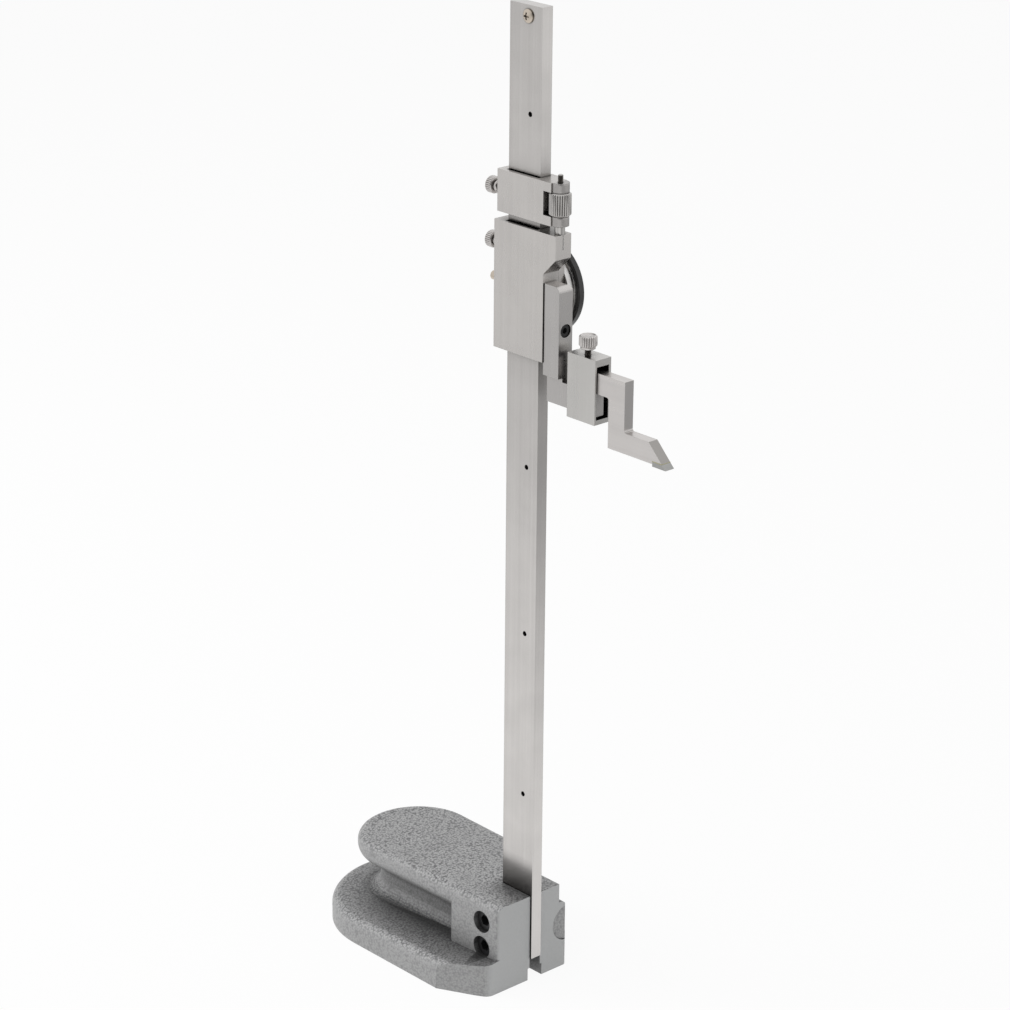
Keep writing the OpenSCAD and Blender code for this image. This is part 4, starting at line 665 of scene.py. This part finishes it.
# %% Lock screws
HEAD_H, NECK_H, BOSS_H, BOSS_R, GROOVE_R = 3.8, 2.2, 1.4, 2.6, 2.0
HEAD_EDGE, BOSS_FOOT, BOSS_RIM = 0.5, 0.3, 0.2
DISH_TOP, DISH_FOOT, DISH_H, DISH_MIDDLE = 0.9, 1.2, 0.2, 1
M3_R, M3_TIP_R, M3_TIP_H, M3_PITCH, M3_NOTCH = 1.5, 1.2, 0.3, 0.5, 0.28
THREAD_STEPS = 8


def lock_screw(name, node, body):
    """A lock screw along x, worked out from the box of its solid."""
    low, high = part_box(node)
    head_r = (high[2] - low[2]) / 2 / MM
    neck_z = -(HEAD_H + NECK_H)
    tip = (low[0] - high[0]) / MM
    steps = int((neck_z - tip) / M3_PITCH * THREAD_STEPS)
    profile = (rows((tip, 0), (tip, M3_TIP_R), 2)
               + rows((tip + M3_TIP_H, M3_R), (neck_z, M3_R), steps, threaded=1)
               + rows((neck_z, M3_R), (neck_z, BOSS_R - BOSS_FOOT), 2)
               + rows((neck_z + BOSS_FOOT, BOSS_R), (neck_z + BOSS_H - BOSS_RIM, BOSS_R), 2)
               + rows((neck_z + BOSS_H, BOSS_R - BOSS_RIM), (neck_z + BOSS_H, GROOVE_R), 2)
               + rows((-HEAD_H, GROOVE_R), (-HEAD_H, head_r - HEAD_EDGE), 2)
               + rows((-HEAD_H, head_r - HEAD_EDGE), (-HEAD_H + HEAD_EDGE, head_r), 4, knurled=1)
               + rows((-HEAD_EDGE, head_r), (0, head_r - HEAD_EDGE), 4, knurled=1)
               + rows((0, head_r - DISH_TOP), (-DISH_H, head_r - DISH_FOOT), 2)
               + rows((-DISH_H, DISH_MIDDLE), (-DISH_H, 0), 2))
    middle = centre_of(node)
    piece = turned(name, profile, (high[0], middle[1], middle[2]), "x", ridges=26, ridge_depth=0.38 * MM,
                   pitch=M3_PITCH * MM, notch_depth=M3_NOTCH * MM)
    return dress(piece, body, "bright_steel", knurled_steel, node)


lock_screw("carriage_thumbscrew", "carriage_lock_screw", "carriage_lock")
lock_screw("fine_thumbscrew", "fine_adjust_lock_screw", "fine_lock")

# %% [markdown]
# The scriber's clamp screw stands on its box with a taller head. Under the knurl its head
# has a plain collar, and the neck below is a dark thread.

# %% Clamp screw
CLAMP_HEAD_H, COLLAR_H, COLLAR_IN, COLLAR_EDGE = 6.0, 1.0, 0.7, 0.2
KNURL_FOOT, KNURL_TOP, KNURL_IN = 0.65, 0.55, 0.65
CLAMP_DISH_TOP, CLAMP_DISH_FOOT, CLAMP_DISH_H = 0.9, 1.1, 0.15

low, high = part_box("scriber_clamp_screw")
middle = centre_of("scriber_clamp_screw")
head_r, tip, under = (high[0] - low[0]) / 2 / MM, (low[2] - high[2]) / MM, -CLAMP_HEAD_H
collar_top, collar_r = under + COLLAR_H, head_r - COLLAR_IN
steps = int((under - tip) / M3_PITCH * THREAD_STEPS)
profile = (rows((tip, 0), (tip, M3_TIP_R), 2)
           + rows((tip + M3_TIP_H, M3_R), (under, M3_R), steps, threaded=1)
           + rows((under, M3_R), (under, collar_r - COLLAR_EDGE), 2)
           + rows((under + COLLAR_EDGE, collar_r), (collar_top, collar_r), 2)
           + rows((collar_top, head_r - KNURL_IN), (collar_top + KNURL_FOOT, head_r), 4, knurled=1)
           + rows((-KNURL_TOP, head_r), (0, head_r - KNURL_TOP), 4, knurled=1)
           + rows((0, head_r - CLAMP_DISH_TOP), (-CLAMP_DISH_H, head_r - CLAMP_DISH_FOOT), 2)
           + rows((-CLAMP_DISH_H, DISH_MIDDLE), (-CLAMP_DISH_H, 0), 2))
clamp_thumbscrew = turned("clamp_thumbscrew", profile, (middle[0], middle[1], high[2]), "z", ridges=24,
                          ridge_depth=0.46 * MM, pitch=M3_PITCH * MM, notch_depth=M3_NOTCH * MM)
dress(clamp_thumbscrew, "clamp_screw", "bright_steel", knurled_steel, "scriber_clamp_screw")
print("clamp screw has", len(clamp_thumbscrew.data.polygons), "faces")

# %% [markdown]
# The knurled nut of the fine adjustment has a bore, so its profile is a closed loop and the
# last row joins the first. The stud in it has a plain polished shank where it leaves the
# carriage, and a thread above.

# %% Nut and stud
NUT_BORE_R, NUT_EDGE_H, NUT_EDGE_IN, BORE_EDGE = 1.3, 0.7, 0.8, 0.3
STUD_R, STUD_PITCH, STUD_NOTCH, STUD_TIP = 1.25, 0.45, 0.26, 0.4
SHANK_H, SHANK_EDGE = 11.5, 0.3

low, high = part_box("fine_adjust_nut")
middle = centre_of("fine_adjust_nut")
nut_r, nut_h = (high[0] - low[0]) / 2 / MM, (high[2] - low[2]) / MM
rim_r, mouth_r = nut_r - NUT_EDGE_IN, NUT_BORE_R + BORE_EDGE
profile = (rows((0, mouth_r), (0, rim_r), 2) + rows((0, rim_r), (NUT_EDGE_H, nut_r), 4, knurled=1)
           + rows((nut_h - NUT_EDGE_H, nut_r), (nut_h, rim_r), 4, knurled=1)
           + rows((nut_h, rim_r), (nut_h, mouth_r), 2)
           + rows((nut_h - BORE_EDGE, NUT_BORE_R), (BORE_EDGE, NUT_BORE_R), 2))
knurled_nut = turned("knurled_nut", profile, (middle[0], middle[1], low[2]), "z", ridges=28,
                     ridge_depth=0.5 * MM, wrap_rows=True)
dress(knurled_nut, "fine_nut", "bright_steel", nut_steel, "fine_adjust_nut")

low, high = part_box("fine_adjust_stud")
middle = centre_of("fine_adjust_stud")
shank_r, stud_h = (high[0] - low[0]) / 2 / MM, (high[2] - low[2]) / MM
steps = int((stud_h - SHANK_H) / STUD_PITCH * THREAD_STEPS)
profile = (rows((0, 0), (0, shank_r - SHANK_EDGE), 2)
           + rows((SHANK_EDGE, shank_r), (SHANK_H - SHANK_EDGE, shank_r), 2)
           + rows((SHANK_H, shank_r - SHANK_EDGE), (SHANK_H, STUD_R), 2)
           + rows((SHANK_H, STUD_R), (stud_h - STUD_TIP, STUD_R), steps, threaded=1)
           + rows((stud_h, STUD_R - STUD_TIP), (stud_h, 0), 2))
threaded_stud = turned("threaded_stud", profile, (middle[0], middle[1], low[2]), "z",
                       pitch=STUD_PITCH * MM, notch_depth=STUD_NOTCH * MM)
dress(threaded_stud, "carriage", "bright_steel", threaded_steel, "fine_adjust_stud")
for piece in (knurled_nut, threaded_stud):
    print(piece.name, "has", len(piece.data.polygons), "faces")

# %% [markdown]
# ## Printing on the dial and lines on the beam
#
# The dial is printed in black: a hundred divisions, longer at each five and ten, and a plain
# number at each ten. Ink has almost no height, so each line is a slab two hundredths of a
# millimetre thick, and all lines of one scale are one mesh.

# %% Helper for slabs
def slabs(name, corners, lift):
    """Thin closed slabs: corners is (count, 4, 3), and each slab is that quad and its copy moved by lift."""
    corners = np.asarray(corners, float)
    count = len(corners)
    points = np.concatenate([corners, corners + np.array(lift)], axis=1).reshape(-1, 3)
    sides = np.array([(3, 2, 1, 0), (4, 5, 6, 7), (0, 1, 5, 4), (1, 2, 6, 5), (2, 3, 7, 6), (3, 0, 4, 7)])
    quads = (np.arange(count)[:, None, None] * 8 + sides[None]).reshape(-1, 4)
    mesh = bpy.data.meshes.new(name)
    mesh.from_pydata(points.tolist(), [], quads.tolist())
    tidy = bmesh.new()
    tidy.from_mesh(mesh)
    bmesh.ops.recalc_face_normals(tidy, faces=tidy.faces)
    tidy.to_mesh(mesh)
    tidy.free()
    made = bpy.data.objects.new(name, mesh)
    bpy.context.scene.collection.objects.link(made)
    return made


def graded(step, longest, middle, short):
    """Lengths of scale lines: the longest at each ten, the middle at each five, else the short."""
    return np.where(step % 10 == 0, longest, np.where(step % 5 == 0, middle, short)) * MM


INK = 0.02 * MM
print("slab helper is ready")

# %% Dial divisions and numbers
DIVISIONS, DIAL_R, NUMBER_R, NUMBER_H = 100, 16.0 * MM, 11.4 * MM, 3.0 * MM
DEGREES = 360 / DIVISIONS

low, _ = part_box("dial_face")
dial_x, _, dial_z = centre_of("dial_face")
step = np.arange(DIVISIONS)
turn = np.radians(DEGREES * step)
length = graded(step, 2.6, 2.0, 1.3)
half = graded(step, 0.13, 0.08, 0.08)
radial = np.stack([np.sin(turn), 0 * turn, np.cos(turn)], axis=-1)
across = np.stack([np.cos(turn), 0 * turn, -np.sin(turn)], axis=-1)
inner_end, outer_end = radial * (DIAL_R - length)[:, None], radial * DIAL_R
ends = [inner_end - across * half[:, None], inner_end + across * half[:, None],
        outer_end + across * half[:, None], outer_end - across * half[:, None]]
hub = np.array([dial_x, low[1] + INK / 4, dial_z])
divisions = slabs("dial_divisions", np.stack(ends, axis=1) + hub, (0, -INK, 0))
dress(divisions, "bezel", "pointer_black", pointer_black)
for number in range(0, DIVISIONS, 10):
    curve = bpy.data.curves.new(f"dial_number_{number}", "FONT")
    curve.body, curve.size, curve.extrude = str(number), NUMBER_H, INK / 2
    curve.align_x, curve.align_y = "CENTER", "CENTER"
    drawn = bpy.data.objects.new("drawn", curve)
    bpy.context.scene.collection.objects.link(drawn)
    bpy.context.view_layer.update()
    mesh = bpy.data.meshes.new_from_object(drawn.evaluated_get(bpy.context.evaluated_depsgraph_get()))
    bpy.data.objects.remove(drawn)
    angle = math.radians(DEGREES * number)
    place = (dial_x + NUMBER_R * math.sin(angle), low[1] - INK / 4, dial_z + NUMBER_R * math.cos(angle))
    mesh.transform(mathutils.Matrix.Translation(place) @ mathutils.Matrix.Rotation(math.pi / 2, 4, "X"))
    piece = bpy.data.objects.new(f"dial_number_{number}", mesh)
    bpy.context.scene.collection.objects.link(piece)
    dress(piece, "bezel", "pointer_black", pointer_black)
print("dial has", len(divisions.data.polygons) // 6, "divisions and ten numbers")

# %% [markdown]
# The beam's front face carries a millimetre scale beside the rack, for the coarse reading.
# Its lines are etched and filled with black, with a longer line at each five and ten.

# %% Scale on the beam
FIRST_MARK, LAST_MARK = 50, 440
MARGIN, HALF_LINE = 0.4 * MM, 0.07 * MM

low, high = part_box("beam")
mark = np.arange(FIRST_MARK, LAST_MARK + 1)
height = mark * MM
right = np.full(height.shape, high[0] - MARGIN)
front = np.full(height.shape, low[1] + INK / 4)
left, low_edge, high_edge = right - graded(mark, 4.6, 3.6, 2.4), height - HALF_LINE, height + HALF_LINE
ends = [np.stack([x, front, z], axis=-1)
        for x, z in ((left, low_edge), (right, low_edge), (right, high_edge), (left, high_edge))]
beam_scale = slabs("beam_scale", np.stack(ends, axis=1), (0, -INK, 0))
dress(beam_scale, "base", "pointer_black", pointer_black)
print("beam scale has", len(height), "lines")

# %% [markdown]
# The carbide tip is brazed to the scriber. The braze shows as a thin bead round the joint,
# so a small round profile is carried round the joint's four corners. At an angle a, a point
# lies at corner + half the corner's way out x bead x cos(a), and at top + bead x sin(a). The
# slope is at 45 degrees, so the joint is as much shorter at the left as the tip is high.

# %% Braze bead
BEAD, BEAD_SIDES = 0.2 * MM, 10

low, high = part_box("carbide_tip")
left_edge = low[0] + (high[2] - low[2])
corners = np.array([(left_edge, low[1]), (high[0], low[1]), (high[0], high[1]), (left_edge, high[1])])
outward_way = np.array([(-1, -1), (1, -1), (1, 1), (-1, 1)]) * 0.5
around = np.linspace(0, 2 * math.pi, BEAD_SIDES, endpoint=False)
sideways = corners[:, None, :] + outward_way[:, None, :] * BEAD * np.cos(around)[None, :, None]
upright = np.broadcast_to((high[2] + BEAD * np.sin(around))[None, :, None], (4, BEAD_SIDES, 1))
braze = closed_surface("braze_bead", np.concatenate([sideways, upright], axis=-1), wrap_rows=True)
dress(braze, "scriber", "brass", braze_metal)
print("braze bead has", len(braze.data.polygons), "faces")

# %% [markdown]
# ## The stage
#
# The gauge stands on a pale floor. To the camera the floor is white apart from the object's
# shadow. In a polished face it mirrors with darker bands, as a real bench ends and a real
# room begins, because steel shows its form only by what it mirrors. A colour ramp along the
# floor's diagonal gives the bands: each pair below is a place in metres and a tone.

# %% Floor
FLOOR_HALF, BAND_REACH, FLOOR_GLOW = 3.0, 2.5, 0.93
FLOOR_PAINT = (0.88, 0.88, 0.88, 1)
BANDS = [(-2.5, 1.0), (-1.6, 0.95), (-1.2, 0.5), (-0.75, 0.4), (-0.5, 0.75), (-0.25, 1.0),
         (0.25, 1.0), (0.5, 0.92), (0.8, 0.72), (1.2, 0.8), (2.0, 0.8)]

floor_mesh = bpy.data.meshes.new("floor")
floor_corners = [(x * FLOOR_HALF, y * FLOOR_HALF, 0) for x, y in ((-1, -1), (1, -1), (1, 1), (-1, 1))]
floor_mesh.from_pydata(floor_corners, [], [(0, 1, 2, 3)])
floor = bpy.data.objects.new("floor", floor_mesh)
bpy.context.scene.collection.objects.link(floor)
floor_paint = bpy.data.materials.new("floor_paint")
floor_paint.use_nodes = True
tree = floor_paint.node_tree
tree.nodes.clear()
output = add(tree, "OutputMaterial", 600, 0)
matt = add(tree, "BsdfDiffuse", 0, 100, Color=FLOOR_PAINT)
place = add(tree, "SeparateXYZ", -900, -200, Vector=add(tree, "TexCoord", -1100, -200).outputs["Object"])
diagonal = maths(tree, "ADD", place.outputs[0], place.outputs[1], -700, -200)
along = maths(tree, "MULTIPLY", diagonal, math.sqrt(0.5), -550, -200)
path = add(tree, "LightPath", -900, 200)
room = add(tree, "ValToRGB", -200, -300)
tree.links.new(spread(tree, along, -BAND_REACH, BAND_REACH, 0.0, 1.0, -400, -200), room.inputs[0])
while len(room.color_ramp.elements) < len(BANDS):
    room.color_ramp.elements.new(0.5)
for element, (where, tone) in zip(room.color_ramp.elements, BANDS):
    element.position = (where + BAND_REACH) / (2 * BAND_REACH)
    element.color = (tone, tone, tone, 1)
shown = mix_colour(tree, path.outputs["Is Camera Ray"], room.outputs[0], (1, 1, 1), 50, -300)
glow = add(tree, "Emission", 150, -100, Color=shown, Strength=1.0)
seen = maths(tree, "MAXIMUM", path.outputs["Is Camera Ray"], path.outputs["Is Glossy Ray"], -200, 100)
share = maths(tree, "MULTIPLY", seen, FLOOR_GLOW, 0, 250)
blend = add(tree, "MixShader", 300, 0, i0=share, i1=matt.outputs[0], i2=glow.outputs[0])
tree.links.new(blend.outputs[0], output.inputs[0])
floor_mesh.materials.append(floor_paint)
floor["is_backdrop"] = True
print("floor has", len(BANDS), "bands in its mirror image")

# %% [markdown]
# The world is white to the camera. Polished faces and glass see a pale room with one dark
# patch in it, which gives the ground steel its contrast. As a light the world is dimmer, and
# weaker from above than from the side, so that upright faces stay bright.

# %% World
CAMERA_WHITE = 0.98
DARK_PATCH_WAY = (-0.7, 0.63, 0.33)

world = bpy.data.worlds.new("studio")
world.use_nodes = True
bpy.context.scene.world = world
tree = world.node_tree
tree.nodes.clear()
output = add(tree, "OutputWorld", 600, 0)
path = add(tree, "LightPath", -600, 200)
way = add(tree, "TexCoord", -900, -300).outputs["Generated"]
rise = add(tree, "SeparateXYZ", -700, -300, Vector=way).outputs[2]
sky = spread(tree, rise, 0.35, 0.8, 0.9, 0.95, -500, -300)
dark_side = add(tree, "VectorMath", -700, -500, {"operation": "DOT_PRODUCT"}, i0=way, i1=DARK_PATCH_WAY)
shade = spread(tree, dark_side.outputs["Value"], 0.8, 0.95, 1.0, 0.06, -500, -500)
room_light = maths(tree, "MULTIPLY", sky, shade, -300, -400)
seen = maths(tree, "MAXIMUM", path.outputs["Is Glossy Ray"], path.outputs["Is Transmission Ray"], -400, 200)
fall = spread(tree, rise, 0.0, 0.8, 0.85, 0.35, -200, 0)
light = add(tree, "Background", 0, 0, Color=(1, 1, 1, 1), Strength=fall)
room = add(tree, "Background", 0, -200, Color=(1, 1, 1, 1), Strength=room_light)
white = add(tree, "Background", 0, -350, Color=(1, 1, 1, 1), Strength=CAMERA_WHITE)
blend = add(tree, "MixShader", 250, 0, i0=seen, i1=light.outputs[0], i2=room.outputs[0])
blend = add(tree, "MixShader", 420, 0, i0=path.outputs["Is Camera Ray"], i1=blend.outputs[0],
            i2=white.outputs[0])
tree.links.new(blend.outputs[0], output.inputs[0])
print("world is", world.name)

# %% [markdown]
# Two large lamps give the soft light, one high above the gauge's back and one to its left as
# the photograph sees it. Neither shows in the steel, because the world and the floor already
# hold all that it mirrors.

# %% Lamps
def area_lamp(name, place, aim, width, height, power):
    """A soft rectangular lamp at a place, turned to face a point."""
    data = bpy.data.lights.new(name, "AREA")
    data.shape, data.size, data.size_y, data.energy = "RECTANGLE", width, height, power
    lamp = bpy.data.objects.new(name, data)
    lamp.location = place
    lamp.rotation_euler = (mathutils.Vector(aim) - lamp.location).to_track_quat("-Z", "Y").to_euler()
    lamp.visible_camera = lamp.visible_glossy = False
    bpy.context.scene.collection.objects.link(lamp)
    return lamp


area_lamp("top_lamp", (0.1, 0.5, 1.5), (-0.04, 0, 0.15), 1.2, 1.2, 8)
area_lamp("left_lamp", (1.2, 0.9, 0.7), (-0.04, 0, 0.2), 0.9, 0.9, 14)
bpy.context.scene.view_settings.view_transform = "Standard"
print("lamps:", ", ".join(lamp.name for lamp in bpy.data.lights))

# %% [markdown]
# ## The size of the visual model
#
# The visual model should stay inside the solids' box, so its box is printed here.

# %% The visual box
low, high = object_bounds()
print("visual box", [round(v, 4) for v in low], [round(v, 4) for v in high])
